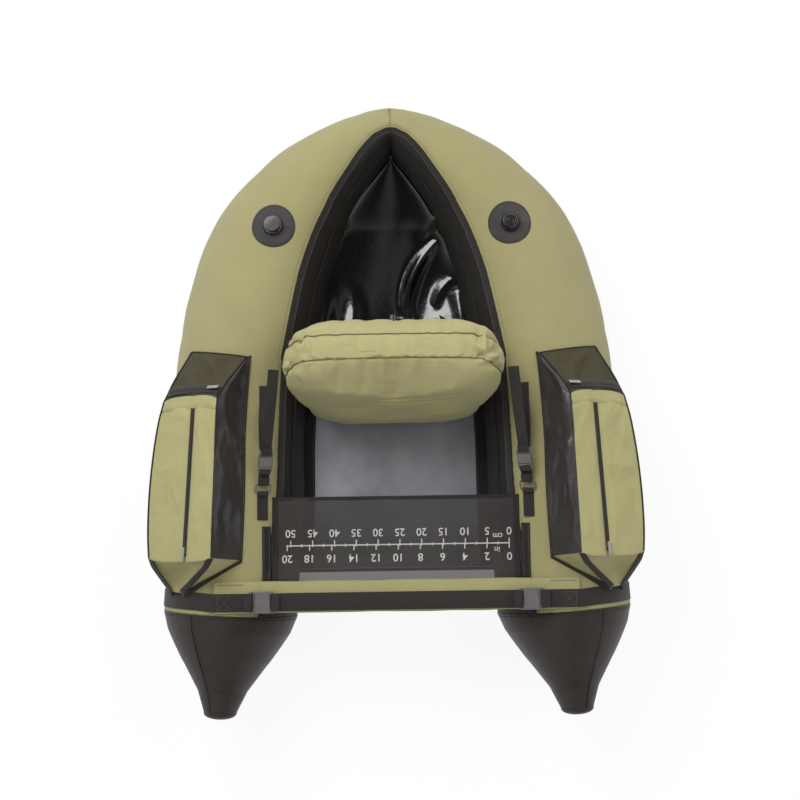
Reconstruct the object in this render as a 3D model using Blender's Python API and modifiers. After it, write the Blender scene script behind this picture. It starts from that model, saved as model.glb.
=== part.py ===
"""Float tube: an open-fronted inflatable fishing seat, with a V-shaped stern and two cone-ended tubes.

Metres, +Z up. +Y points to the stern, the cones point to -Y, and +X is right seen from the open end.
The origin is on the floor, midway along and across. One side is modelled and the other is its mirror.
"""

import functools
import math

import bmesh
import bpy
import numpy as np
from mathutils import Matrix, Vector

# Overall
LENGTH = 1.436
CONE_LENGTH = 0.242
TUBE_RADIUS = 0.156
RING_HALF_SPAN = 0.393
STERN_RISE = 0.130
TIP_RISE = 0.046
TIP_SPREAD = 0.0065

# Clearances
SEAM_GAP = 0.0003
RING_GAP = 0.0010
REST_GAP = 0.0004
BELT_GAP = 0.0008
CUTTER_OVERRUN = 0.010

# Tube skins
COVER_THICKNESS = 0.0012
BLADDER_INSET = 0.0060
BLADDER_THICKNESS = 0.0006
FLAT_HALF_ANGLE = 9.0
OUTER_SEAM_ANGLE = -30.0
TOP_FACETS = 16
BILGE_FACETS = 3
FLANK_FACETS = 8
BLADDER_FACETS = 10

# Inner walls, seat and deck
WALL_GAP = 0.0008
WALL_THICKNESS = 0.0010
WALL_FACETS = 4
PANEL_THICKNESS = 0.0018
PANEL_EDGE_ANGLE = 200.0
PANEL_EDGE_GAP = 0.0002
SEAT_FRONT_FROM_RING = 0.097
SEAT_SAG = 0.012
DECK_SAG = 0.016
DECK_FOLD = 0.007
DECK_FRONT_GAP = 0.0005
HEM_RADIUS = 0.004

# Backrest
BACKREST_FROM_RING = 0.476
# The cushion is as wide as the room between the tubes and this much more, and less at its foot.
BACKREST_OVERHANG = 0.015
BACKREST_FOOT_TAPER = 0.100
BACKREST_HEIGHT = 0.362
BACKREST_THICKNESS = 0.152
BACKREST_LEAN = 18.0
BACKREST_SEAT_GAP = 0.006
ORAL_VALVE_GAP = 0.0004
ORAL_VALVE_RADIUS = 0.007
ORAL_VALVE_LENGTH = 0.030

# Valves
VALVE_FROM_APEX = 0.300
PATCH_RADIUS = 0.051
PATCH_THICKNESS = 0.0016
PATCH_GAP = 0.0006
NECK_RADIUS = 0.0150
NECK_BORE = 0.0105
NECK_HEIGHT = 0.011
NECK_CLEARANCE = 0.0008
FLANGE_RADIUS = 0.0185
FLANGE_THICKNESS = 0.0012
FLANGE_LIFT = 0.0010
COLLAR_RADIUS = 0.0225
COLLAR_HEIGHT = 0.0085
COLLAR_LIFT = 0.0010
CAP_RADIUS = 0.0170
CAP_HEIGHT = 0.0060
PLUG_DEPTH = 0.007
VALVE_RUN_GAP = 0.0004

# Crossbar, belt and apron
BAR_FROM_RING = 0.0405
BAR_RADIUS = 0.0115
BAR_WALL = 0.0015
BAR_LENGTH = 0.500
SLEEVE_WIDTH = 0.069
SLEEVE_HEIGHT = 0.025
SLEEVE_FLAP_HEIGHT = 0.0035
SLEEVE_THICKNESS = 0.0009
SLEEVE_GAP = 0.0009
SLEEVE_HALF_LENGTH = 0.412
SLEEVE_SHOULDER = 0.300
SLEEVE_FLAP_START = 0.365
BELT_WIDTH = 0.040
BELT_THICKNESS = 0.0018
BELT_OFFSET = 0.0105
BELT_LATCH_X = 0.328
BELT_DROP_ANGLE = 68.0
BELT_END_ANGLE = 6.0
APRON_DEPTH = 0.190
APRON_HALF_WIDTH = 0.278
APRON_BAND_WIDTH = 0.026
APRON_BAND_DEPTH = 0.124
APRON_HEM = 0.008
APRON_THICKNESS = 0.0012
APRON_HEM_THICKNESS = 0.0022
APRON_SAG = 0.012
APRON_RISE = 0.060
APRON_BAR_GAP = 0.0006

# Side-release buckles
BELT_SOCKET_LENGTH = 0.042
STAY_SOCKET_LENGTH = 0.032
BUCKLE_HEIGHT = 0.011
BUCKLE_MARGIN = 0.0040
BUCKLE_WALL = 0.0022
BUCKLE_BAR = 0.0036
BUCKLE_ROUND = 0.0012
LATCH_BASE = 0.0125
LATCH_THICKNESS = 0.0050
LATCH_ARM = 0.0048
LATCH_TONGUE = 0.0060
LATCH_CLEARANCE = 0.0006
WEB_SLOT = 0.0056
WEB_SLOT_MARGIN = 0.0012
WEB_GAP = 0.0004
WEB_TAIL = 0.014

# Stays
STAY_X = 0.302
STAY_FROM_RING = 0.276
STAY_TOP_FROM_RING = 0.545
STAY_TOP_X = 0.264
STAY_TOP_HEIGHT = 0.397
STAY_WEB_WIDTH = 0.025
STAY_WEB_LENGTH = 0.032
STRAP_THICKNESS = 0.0015
RING_WIDTH = 0.034
RING_DEPTH = 0.020
RING_WIRE = 0.0020
RING_CORNER = 0.0040
TAB_LENGTH = 0.062
REAR_TAB_FROM_RING = 0.521
REAR_TAB_X = 0.297
REAR_TAB_WIDTH = 0.026
REAR_TAB_LENGTH = 0.044
REAR_LOOP_LENGTH = 0.104
REAR_LOOP_RISE = 0.016

# Pockets
POCKET_REAR_FROM_RING = 0.590
POCKET_CREST_FROM_RING = 0.493
POCKET_FRONT_FROM_RING = 0.124
POCKET_TIP_FROM_RING = 0.046
POCKET_RISE = 0.090
POCKET_OUTER_RISE = 0.012
POCKET_SIDE_RISE = -0.065
POCKET_INSET = 0.021
# How far the pocket's outer top edge stands past the tube at its crest and its front, how much more
# half way between them, and how far the bend in its side stands out.
POCKET_CREST_BULGE = -0.004
POCKET_FRONT_BULGE = 0.015
POCKET_SWELL = 0.012
POCKET_SIDE_BULGE = 0.004
POCKET_GAP = 0.0017
POCKET_REAR_GAP = 0.0034
POCKET_TIP_GAP = 0.0066
POCKET_LIP = 0.004
ZIP_WIDTH = 0.010
ZIP_THICKNESS = 0.0012
ZIP_GAP = 0.0006
FACE_GAP = 0.0008
ZIP_END = 0.012
MESH_MARGIN = 0.006
MESH_THICKNESS = 0.0010
BAND_WIDTH = 0.022
SLIDER_WIDTH = 0.0085
SLIDER_LENGTH = 0.013
SLIDER_HEIGHT = 0.0040
SLIDER_GAP = 0.0008
PULL_LENGTH = 0.018
PULL_THICKNESS = 0.0016

BODY_LENGTH = LENGTH - CONE_LENGTH
RING_Y = CONE_LENGTH - LENGTH / 2
BACKREST_Y = RING_Y + BACKREST_FROM_RING
BAR_REACH = math.hypot(BUCKLE_BAR / 2, LATCH_THICKNESS / 2)

# Half of the tube from the stern's middle to the cone ring, as shares of the ring's half span, of the
# body's length, of the tube's radius across and upright, and of the stern's rise, with the inner
# seam's angle in from the top in degrees.
STATION_SHARES = (
    (0.000, 0.042, 0.320, 0.545, 1.00, 37),
    (0.173, 0.069, 0.436, 0.590, 0.90, 38),
    (0.453, 0.138, 0.705, 0.757, 0.54, 40),
    (0.585, 0.190, 0.820, 0.850, 0.31, 41),
    (0.697, 0.249, 0.917, 0.930, 0.13, 42),
    (0.784, 0.315, 0.971, 0.975, 0.04, 43),
    (0.837, 0.381, 0.994, 1.000, 0.00, 43),
    (0.897, 0.465, 1.000, 1.000, 0.00, 44),
    (0.929, 0.518, 1.000, 1.000, 0.00, 44),
    (0.959, 0.652, 1.000, 1.000, 0.00, 44),
    (0.964, 0.771, 1.000, 1.000, 0.00, 42),
    (0.982, 0.905, 1.000, 1.000, 0.00, 35),
    (1.000, 1.000, 1.000, 1.000, 0.00, 30),
)
RING_STATION = len(STATION_SHARES) - 1
COVER_STATIONS = (0, 0.5, 1, 1.5, 2, 3, 4, 5, 6, 7, 8, 9, 10, 11, 12)
BLADDER_STATIONS = (0.4, 1, 2, 3, 4, 5, 6, 8, 9, 10, 12)
POCKET_FOOT_FACETS = (3, 13)
POCKET_REAR_ANGLE = 45.0
POCKET_TIP_ANGLES = (40.0, 54.0)
POCKET_TOP_SHARES = (0, 0.25, 0.5, 0.75, 1)
POCKET_SLOPE_SHARES = (0.25, 0.5, 0.75)
# Where the ends of a slope's row lie, as shares of its drop: past the inner corner, and short of the outer one.
POCKET_END_SHARES = (0.05, 0.1, 0.025)
# Places across the pocket's rear face at which the sheets on it are drawn.
FACE_SHARES = (0.04, 0.25, 0.5, 0.75, 0.94)
PROBE_SHARE = 0.01
DIRECTION_STEP_STATIONS = 0.01
BELT_STEP_STATIONS = 0.1
FIRST_DECK_STATION = 0.65
FIRST_WALL_STATION = 0.65
DECK_FOLDS = 3
DECK_FOLD_SLANT_SHARE = 0.35
# The cushion: height at which it is full width, depth in its middle with what the sides and ends lose,
# how far its sides are drawn in, height in its middle with what the sides lose, and its spread.
CUSHION_FULL_SHARE = 0.80
CUSHION_CROWN_SHARES = (1.12, 0.50, 0.30)
CUSHION_DRAWN_SHARE = 0.10
CUSHION_ARCH_SHARES = (1.06, 0.10)
CUSHION_SPREAD_SHARE = 1.06
BUCKLE_WINDOW_SHARES = (0.35, 0.80)
SLIDER_STEP_SHARE = 0.45
SLIDER_NOSE_SHARE = 0.7
HEEL_SHARE = 0.35
HINGE_SHARE = 0.80
ORAL_VALVE_SHARE = 0.86
ORAL_VALVE_SEAT_SHARE = 0.882
ZIP_SHARE = 0.42
BAND_SLIDER_SHARE = 0.20
SLEEVE_SHARES = (
    (-1.0, -0.3),
    (-0.9, -0.8),
    (-0.5, -1.0),
    (0.0, -1.0),
    (0.5, -1.0),
    (0.9, -0.8),
    (1.0, 0.0),
    (0.9, 0.8),
    (0.5, 1.0),
    (0.0, 1.0),
    (-0.5, 1.0),
    (-0.9, 0.8),
    (-1.0, 0.3),
)
CONE_SHARES = ((0, 1), (0.17, 0.905), (0.45, 0.655), (0.74, 0.36), (0.93, 0.24), (0.98, 0.20))

COLOURS = {
    "khaki": ("a8a278", 0.75, 0.0),
    "black_cloth": ("24211f", 0.65, 0.0),
    "tarpaulin": ("1b1919", 0.30, 0.0),
    "seat_cloth": ("3a393b", 0.40, 0.0),
    "cone_cloth": ("372f2b", 0.60, 0.0),
    "cushion": ("a9a476", 0.80, 0.0),
    "webbing": ("2b2826", 0.80, 0.0),
    "mesh_cloth": ("504d4e", 0.90, 0.0),
    "buckle": ("2e2b2a", 0.40, 0.0),
    "valve": ("1d1c1c", 0.25, 0.0),
    "patch": ("4a4645", 0.55, 0.0),
    "bladder": ("c9ccd0", 0.35, 0.0),
    "metal": ("9a9a9a", 0.30, 1.0),
    "alloy": ("b4b6b8", 0.35, 1.0),
}


def clear_scene():
    for obj in list(bpy.data.objects):
        bpy.data.objects.remove(obj, do_unlink=True)


def make_collection(name):
    made = bpy.data.collections.new(name)
    bpy.context.scene.collection.children.link(made)
    return made


def linear(channel):
    share = int(channel, 16) / 255
    return share / 12.92 if share <= 0.04045 else ((share + 0.055) / 1.055) ** 2.4


def make_material(name):
    code, roughness, metallic = COLOURS[name]
    made = bpy.data.materials.new(name)
    made.use_nodes = True
    shader = made.node_tree.nodes["Principled BSDF"]
    colour = [linear(code[i : i + 2]) for i in (0, 2, 4)]
    shader.inputs["Base Color"].default_value = (*colour, 1)
    shader.inputs["Roughness"].default_value = roughness
    shader.inputs["Metallic"].default_value = metallic
    return made


def place(name, mesh, colour, parent=None, at=(0, 0, 0), turn=(0, 0, 0)):
    """A new part from a mesh or a curve, in its own material, at a place in its parent's space."""
    made = bpy.data.objects.new(name, mesh)
    PARTS.objects.link(made)
    if made.type == "MESH" and not mesh.materials:
        mesh.materials.append(MATERIALS[colour])
    elif made.type == "CURVE":
        mesh.materials.append(MATERIALS[colour])
    made.parent = parent
    made.location = at
    made.rotation_euler = turn
    return made


def make_empty(name, parent=None, at=(0, 0, 0)):
    made = bpy.data.objects.new(name, None)
    PARTS.objects.link(made)
    made.parent = parent
    made.location = at
    return made


def as_cutter(obj):
    PARTS.objects.unlink(obj)
    CUTTERS.objects.link(obj)
    obj.hide_render = True
    obj.display_type = "WIRE"
    return obj


def cut(obj, cutter, operation="DIFFERENCE"):
    made = obj.modifiers.new(cutter.name, "BOOLEAN")
    made.object = cutter
    made.operation = operation
    return obj


def thicken(obj, thickness, offset=-1):
    """Gives an open surface its wall. At -1 the wall lies behind the surface's faces."""
    made = obj.modifiers.new("wall", "SOLIDIFY")
    made.thickness = thickness
    made.offset = offset
    made.use_even_offset = True
    return obj


def soften(obj, width, segments=2):
    made = obj.modifiers.new("edges", "BEVEL")
    made.width = width
    made.segments = segments
    made.limit_method = "ANGLE"
    return obj


def mesh_of(name, build):
    """A mesh that build fills through a bmesh."""
    work = bmesh.new()
    build(work)
    mesh = bpy.data.meshes.new(name)
    work.to_mesh(mesh)
    work.free()
    mesh.shade_smooth()
    mesh.set_sharp_from_angle(angle=math.radians(40))
    return mesh


def loft(name, rows, closed=False, capped=False, keep=None):
    """Faces between neighbouring rows of points. Closed rows are rings, and caps close the two ends."""
    def build(work):
        grid = [[work.verts.new(point) for point in row] for row in rows]
        columns = len(rows[0])
        for i in range(len(grid) - 1):
            for j in range(columns if closed else columns - 1):
                if keep and not keep(i, j):
                    continue
                k = (j + 1) % columns
                work.faces.new((grid[i][j], grid[i][k], grid[i + 1][k], grid[i + 1][j]))
        if capped:
            work.faces.new(reversed(grid[0]))
            work.faces.new(grid[-1])
        loose = [vert for vert in work.verts if not vert.link_faces]
        bmesh.ops.delete(work, geom=loose, context="VERTS")
        if capped:
            bmesh.ops.recalc_face_normals(work, faces=work.faces)
    return mesh_of(name, build)


def block(name, size, centre=(0, 0, 0)):
    def build(work):
        bmesh.ops.create_cube(work, size=1, matrix=Matrix.Translation(centre) @ Matrix.Diagonal((*size, 1)))
    return mesh_of(name, build)


def cylinder(name, radius, depth, segments=24, centre=(0, 0, 0), turn=None):
    def build(work):
        matrix = Matrix.Translation(centre) @ (turn or Matrix.Identity(4))
        bmesh.ops.create_cone(
            work, cap_ends=True, segments=segments, radius1=radius, radius2=radius, depth=depth, matrix=matrix
        )
    return mesh_of(name, build)


def turned(name, profile, colour, parent, at, steps=20):
    """A closed outline of (radius, height) points, top to bottom along its outer side, turned about Z."""
    def build(work):
        verts = [work.verts.new((radius, 0, height)) for radius, height in profile]
        for i, vert in enumerate(verts):
            work.edges.new((vert, verts[(i + 1) % len(verts)]))
    made = place(name, mesh_of(name, build), colour, parent, at)
    spin = made.modifiers.new("turn", "SCREW")
    spin.steps = steps
    spin.render_steps = steps
    spin.use_merge_vertices = True
    spin.merge_threshold = SEAM_GAP / 10
    return made


def outline(name, loops, thickness, colour, parent, at=(0, 0, 0), turn=(0, 0, 0)):
    """A flat piece in its own XY plane, from an outer loop of points and any holes."""
    curve = bpy.data.curves.new(name, "CURVE")
    curve.dimensions = "2D"
    curve.fill_mode = "BOTH"
    curve.extrude = thickness / 2
    for points in loops:
        spline = curve.splines.new("POLY")
        spline.points.add(len(points) - 1)
        for vert, (x, y) in zip(spline.points, points):
            vert.co = (x, y, 0, 1)
        spline.use_cyclic_u = True
    return place(name, curve, colour, parent, at, turn)


def rod(name, points, radius, colour, parent=None, at=(0, 0, 0), cyclic=False):
    curve = bpy.data.curves.new(name, "CURVE")
    curve.dimensions = "3D"
    curve.bevel_depth = radius
    curve.bevel_resolution = 2
    curve.use_fill_caps = not cyclic
    spline = curve.splines.new("POLY")
    spline.points.add(len(points) - 1)
    for vert, point in zip(spline.points, points):
        vert.co = (*point, 1)
    spline.use_cyclic_u = cyclic
    return place(name, curve, colour, parent, at)


def ribbon(name, path, across, width, thickness, colour, parent=None, at=(0, 0, 0), turn=(0, 0, 0)):
    """A strap that follows a path of points. across is one direction, or one for each point."""
    path = [Vector(point) for point in path]
    sides = across if isinstance(across, list) else [across] * len(path)
    rows = []
    for i, point in enumerate(path):
        along = (path[min(i + 1, len(path) - 1)] - path[max(i - 1, 0)]).normalized()
        side = Vector(sides[i]).normalized()
        up = side.cross(along).normalized()
        half = side * width / 2
        rise = up * thickness / 2
        rows.append([point - half - rise, point + half - rise, point + half + rise, point - half + rise])
    return place(name, loft(name, rows, closed=True, capped=True), colour, parent, at, turn)


def between(points, u):
    """Catmull-Rom value at u along a table of rows, each end carried on straight."""
    points = np.asarray(points, float)
    last = len(points) - 1
    i = min(max(int(math.floor(u)), 0), last - 1)
    t = u - i
    before = points[i - 1] if i else 2 * points[0] - points[1]
    after = points[i + 2] if i + 2 <= last else 2 * points[last] - points[last - 1]
    here, there = points[i], points[i + 1]
    return 0.5 * (
        2 * here
        + (there - before) * t
        + (2 * before - 5 * here + 4 * there - after) * t**2
        + (3 * here - before - 3 * there + after) * t**3
    )


@functools.cache
def smooth_station(u):
    """Centre, reach across, radius upright and seam angle at station u of the smooth tube."""
    stern = [(-row[0], *row[1:]) for row in STATION_SHARES[1:3]]
    table = [*reversed(stern), *STATION_SHARES]
    values = between(table, u + len(stern))
    ahead = between(table, u + len(stern) + DIRECTION_STEP_STATIONS)
    behind = between(table, u + len(stern) - DIRECTION_STEP_STATIONS)
    step = Vector(((ahead[0] - behind[0]) * RING_HALF_SPAN, (behind[1] - ahead[1]) * BODY_LENGTH, 0))
    outward = Vector((-step.y, step.x, 0)).normalized()
    wide = values[2] * TUBE_RADIUS
    tall = values[3] * TUBE_RADIUS
    height = values[4] * STERN_RISE + tall * math.cos(math.radians(FLAT_HALF_ANGLE))
    centre = Vector((values[0] * RING_HALF_SPAN, LENGTH / 2 - values[1] * BODY_LENGTH, height))
    return centre, outward * wide, tall, values[5]


@functools.cache
def station(u):
    """Centre, direction out from the boat, radius across, radius upright and seam angle at station u.

    The skins are straight between their own stations, and so is this."""
    u = min(max(u, 0), RING_STATION)
    after = next(i for i, place in enumerate(COVER_STATIONS) if i and place >= u)
    first, last = COVER_STATIONS[after - 1 : after + 1]
    share = (u - first) / (last - first)
    behind, ahead = smooth_station(first), smooth_station(last)
    centre = behind[0].lerp(ahead[0], share)
    reach = behind[1].lerp(ahead[1], share)
    tall, seam = (a + (b - a) * share for a, b in zip(behind[2:], ahead[2:]))
    return centre, reach.normalized(), reach.length, tall, seam


def tube_point(u, angle, out=0.0):
    """A point on the tube at an angle up from straight out, moved out from the skin by a distance."""
    centre, outward, wide, tall, _ = station(u)
    turn = math.radians(angle)
    return centre + outward * (wide + out) * math.cos(turn) + Vector((0, 0, (tall + out) * math.sin(turn)))


def station_at(y, angle=90.0):
    """The station whose tube point at this angle lies at a place along the boat."""
    low, high = 0.0, float(RING_STATION)
    for _ in range(40):
        middle = (low + high) / 2
        if tube_point(middle, angle).y > y:
            low = middle
        else:
            high = middle
    return (low + high) / 2


def tube_top(x, y):
    """Height of the tube's upper skin over a place in plan."""
    low, high = 0.0, float(RING_STATION)
    for _ in range(40):
        middle = (low + high) / 2
        centre, outward, *_ = station(middle)
        along = Vector((outward.y, -outward.x, 0))
        if (Vector((x, y, 0)) - centre).dot(along) > 0:
            low = middle
        else:
            high = middle
    centre, outward, wide, tall, _ = station((low + high) / 2)
    share = (Vector((x, y, 0)) - centre).to_2d().dot(outward.to_2d()) / wide
    return centre.z + tall * math.sqrt(max(1 - share * share, 0))


def inner_seam(u):
    return 90.0 + station(u)[4]


def top_angles(u, edge_gap):
    turn = math.degrees(edge_gap / station(u)[2])
    return np.linspace(OUTER_SEAM_ANGLE + turn, inner_seam(u) - turn, TOP_FACETS + 1)


def under_angles(u, edge_gap):
    """From the outer seam, round under the flat keel, to the inner seam."""
    turn = math.degrees(edge_gap / station(u)[2])
    keel = -90.0 + FLAT_HALF_ANGLE
    heel = -90.0 - FLAT_HALF_ANGLE
    bilge = np.linspace(OUTER_SEAM_ANGLE - turn, keel, BILGE_FACETS + 1)
    flank = np.linspace(heel, inner_seam(u) + turn - 360.0, FLANK_FACETS + 1)
    return [*bilge, *flank]


def make_covers(side, tag):
    centre_cutter = as_cutter(
        place(
            f"stern_cutter_{tag}",
            block("stern_cutter", (2 * CUTTER_OVERRUN, LENGTH, LENGTH), (-CUTTER_OVERRUN, 0, 0)),
            "metal",
            side,
            (SEAM_GAP / 2, 0, 0),
        )
    )
    half_gap = SEAM_GAP / 2
    rows = [[tube_point(u, a) for a in top_angles(u, half_gap)] for u in COVER_STATIONS]
    top = place(f"top_cover_{tag}", loft("top_cover", rows), "khaki", side)
    thicken(top, COVER_THICKNESS)
    cut(top, centre_cutter)
    cut(top, make_valve_cutter(side, tag))
    rows = [[tube_point(u, a) for a in reversed(under_angles(u, half_gap))] for u in COVER_STATIONS]
    under = place(f"under_cover_{tag}", loft("under_cover", rows), "black_cloth", side)
    thicken(under, COVER_THICKNESS)
    cut(under, centre_cutter)


def cone_section(share, radius_share, inset=0.0):
    """Centre and radius of the cone, from the ring at share 0 to the tip at share 1."""
    centre, outward, wide, _, _ = station(RING_STATION)
    along = Vector((outward.y, -outward.x, 0))
    middle = centre + along * CONE_LENGTH * share
    middle.x += TIP_SPREAD * share
    middle.z += TIP_RISE * share
    return middle, outward, wide * radius_share - inset


def ring_angles():
    top = list(top_angles(RING_STATION, 0.0))
    return [*top[:-1], *reversed(under_angles(RING_STATION, 0.0)[1:])]


def cone_ring(share, radius_share, angles, inset=0.0):
    middle, outward, radius = cone_section(share, radius_share, inset)
    ring = []
    for angle in angles:
        turn = math.radians(angle)
        ring.append(middle + outward * radius * math.cos(turn) + Vector((0, 0, radius * math.sin(turn))))
    return ring


def make_cone(side, tag):
    """The conical end of a tube: a skin that starts at the ring seam and closes at a blunt tip."""
    rows = [cone_ring(share, radius, ring_angles()) for share, radius in CONE_SHARES]
    tip_centre, *_ = cone_section(1, CONE_SHARES[-1][1])

    def build(work):
        grid = [[work.verts.new(point) for point in row] for row in rows]
        count = len(rows[0])
        for i in range(len(grid) - 1):
            for j in range(count):
                k = (j + 1) % count
                work.faces.new((grid[i][j], grid[i][k], grid[i + 1][k], grid[i + 1][j]))
        tip = work.verts.new(tip_centre)
        for j in range(count):
            work.faces.new((grid[-1][j], grid[-1][(j + 1) % count], tip))
    mesh = mesh_of("cone_cover", build)
    outward = station(RING_STATION)[1]
    clear = Vector((outward.y, -outward.x, 0)) * RING_GAP
    cone = place(f"cone_cover_{tag}", mesh, "cone_cloth", side, clear)
    thicken(cone, COVER_THICKNESS)


def make_bladder(side, tag):
    """The air bladder inside one side's skins, closed at both ends and open where its valve is welded in."""
    angles = np.linspace(90, 450, BLADDER_FACETS + 1)[:-1]
    rows = [[tube_point(u, a, -BLADDER_INSET) for a in angles] for u in BLADDER_STATIONS]
    for share, radius in CONE_SHARES[1:-1]:
        rows.append(cone_ring(share, radius, angles, BLADDER_INSET))
    mesh = loft("bladder", rows, closed=True, capped=True)
    bladder = place(f"bladder_{tag}", mesh, "bladder", side)
    thicken(bladder, BLADDER_THICKNESS)
    cut(bladder, make_bladder_cutter(side, tag))


def valve_place():
    u = station_at(LENGTH / 2 - VALVE_FROM_APEX)
    return tube_point(u, 90.0)


def make_valve_cutter(side, tag):
    mesh = cylinder("valve_hole", NECK_RADIUS + NECK_CLEARANCE, 2 * CUTTER_OVERRUN)
    return as_cutter(place(f"valve_hole_{tag}", mesh, "metal", side, valve_place()))


def make_bladder_cutter(side, tag):
    mesh = cylinder("bladder_hole", NECK_BORE, 4 * CUTTER_OVERRUN)
    return as_cutter(place(f"bladder_hole_{tag}", mesh, "metal", side, valve_place()))


def make_patch(side, tag):
    """A round reinforcing patch that drapes over the tube, with the valve neck through its middle."""
    middle = valve_place()
    radii = np.linspace(NECK_RADIUS + NECK_CLEARANCE, PATCH_RADIUS, 4)
    around = 24
    rows = []
    for radius in radii:
        row = []
        for j in range(around):
            turn = 2 * math.pi * j / around
            x = middle.x + radius * math.cos(turn)
            y = middle.y + radius * math.sin(turn)
            row.append(Vector((x, y, tube_top(x, y) + PATCH_GAP + PATCH_THICKNESS)))
        rows.append(list(reversed(row)))
    patch = place(f"valve_patch_{tag}", loft("valve_patch", rows, closed=True), "patch", side)
    thicken(patch, PATCH_THICKNESS)


def make_valve(side, tag):
    """A screw valve: the neck with its weld flange, the collar that screws down, and the cap."""
    middle = valve_place()
    flange_top = -BLADDER_INSET + FLANGE_LIFT + FLANGE_THICKNESS
    deck = PATCH_GAP + PATCH_THICKNESS
    neck_top = deck + NECK_HEIGHT
    turned(
        f"valve_neck_{tag}",
        [
            (NECK_BORE, neck_top),
            (NECK_RADIUS, neck_top),
            (NECK_RADIUS, flange_top),
            (FLANGE_RADIUS, flange_top),
            (FLANGE_RADIUS, flange_top - FLANGE_THICKNESS),
            (NECK_BORE, flange_top - FLANGE_THICKNESS),
        ],
        "valve",
        side,
        middle,
    )
    collar_foot = deck + COLLAR_LIFT
    rim = COLLAR_RADIUS - (COLLAR_RADIUS - NECK_RADIUS) / 4
    collar_bore = NECK_RADIUS + VALVE_RUN_GAP
    collar = make_empty(f"collar_axis_{tag}", side, middle)
    turned(
        f"valve_collar_{tag}",
        [
            (collar_bore, collar_foot + COLLAR_HEIGHT),
            (rim, collar_foot + COLLAR_HEIGHT),
            (COLLAR_RADIUS, collar_foot + COLLAR_HEIGHT / 2),
            (COLLAR_RADIUS, collar_foot),
            (collar_bore, collar_foot),
        ],
        "valve",
        collar,
        (0, 0, 0),
        24,
    )
    cap_foot = neck_top + VALVE_RUN_GAP
    plug = NECK_BORE - VALVE_RUN_GAP
    turned(
        f"valve_cap_{tag}",
        [
            (0, cap_foot + CAP_HEIGHT),
            (CAP_RADIUS - CAP_HEIGHT / 3, cap_foot + CAP_HEIGHT),
            (CAP_RADIUS, cap_foot + CAP_HEIGHT * 2 / 3),
            (CAP_RADIUS, cap_foot),
            (plug, cap_foot),
            (plug, cap_foot - PLUG_DEPTH),
            (0, cap_foot - PLUG_DEPTH),
        ],
        "valve",
        collar,
        (0, 0, 0),
    )


def flank_rows(first, last):
    """The cover's own stations between two others, with those two at the ends."""
    return [first, *[u for u in COVER_STATIONS if first < u < last], last]


def make_wall(side, tag):
    """The black strip that lines the inner flank, from its fold line down past the seat's edge."""
    seat_front = station_at(RING_Y + SEAT_FRONT_FROM_RING, PANEL_EDGE_ANGLE)
    rows = []
    for u in flank_rows(FIRST_WALL_STATION, seat_front):
        facets = under_angles(u, SEAM_GAP / 2)[::-1]
        rows.append([tube_point(u, a, WALL_GAP + WALL_THICKNESS) for a in facets[1 : WALL_FACETS + 2]])
    wall = place(f"inner_wall_{tag}", loft("inner_wall", rows), "black_cloth", side)
    thicken(wall, WALL_THICKNESS)


def panel_edge(u):
    out = WALL_GAP + WALL_THICKNESS + PANEL_EDGE_GAP
    return tube_point(u, PANEL_EDGE_ANGLE, out)


def panel_rows(stations, columns, drop):
    """Rows across the boat, each from the left flank to the right one, let down by drop(share, across)."""
    rows = []
    for i, u in enumerate(stations):
        edge = panel_edge(u)
        row = []
        for across in np.linspace(-1, 1, columns + 1):
            low = drop(i / (len(stations) - 1), across)
            row.append(Vector((edge.x * across, edge.y, edge.z - low)))
        rows.append(row)
    return rows


def seat_drop(share, across):
    return SEAT_SAG * (1 - across**2)


def deck_drop(share, across):
    """The deck sags along its middle and keeps three soft folds that run in from its edges."""
    hang = 1 - across**2
    turn = 2 * math.pi * (DECK_FOLDS * share + DECK_FOLD_SLANT_SHARE * across)
    fold = math.sin(turn) * math.sin(math.pi * share)
    return hang * (DECK_SAG * math.sin(math.pi * share) + DECK_FOLD * fold * math.sin(math.pi * share))


def make_floor():
    front = station_at(RING_Y + SEAT_FRONT_FROM_RING, PANEL_EDGE_ANGLE)
    middle = station_at(BACKREST_Y, PANEL_EDGE_ANGLE)
    deck_front = station_at(BACKREST_Y + DECK_FRONT_GAP, PANEL_EDGE_ANGLE)
    seat = place("seat_panel", loft("seat_panel", panel_rows(flank_rows(middle, front), 10, seat_drop)), "seat_cloth")
    thicken(seat, PANEL_THICKNESS, 0)
    stations = flank_rows(FIRST_DECK_STATION, deck_front)
    finer = sorted({*stations, *[(a + b) / 2 for a, b in zip(stations, stations[1:])]})
    deck = place("deck_panel", loft("deck_panel", panel_rows(finer, 10, deck_drop)), "tarpaulin")
    thicken(deck, PANEL_THICKNESS, 0)
    edge = panel_edge(front)
    lift = HEM_RADIUS + REST_GAP
    inset = HEM_RADIUS
    points = []
    for across in np.linspace(-1, 1, 11):
        points.append((across * (edge.x - inset), edge.y - lift, edge.z - seat_drop(1, across)))
    rod("seat_hem", points, HEM_RADIUS, "black_cloth")


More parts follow.
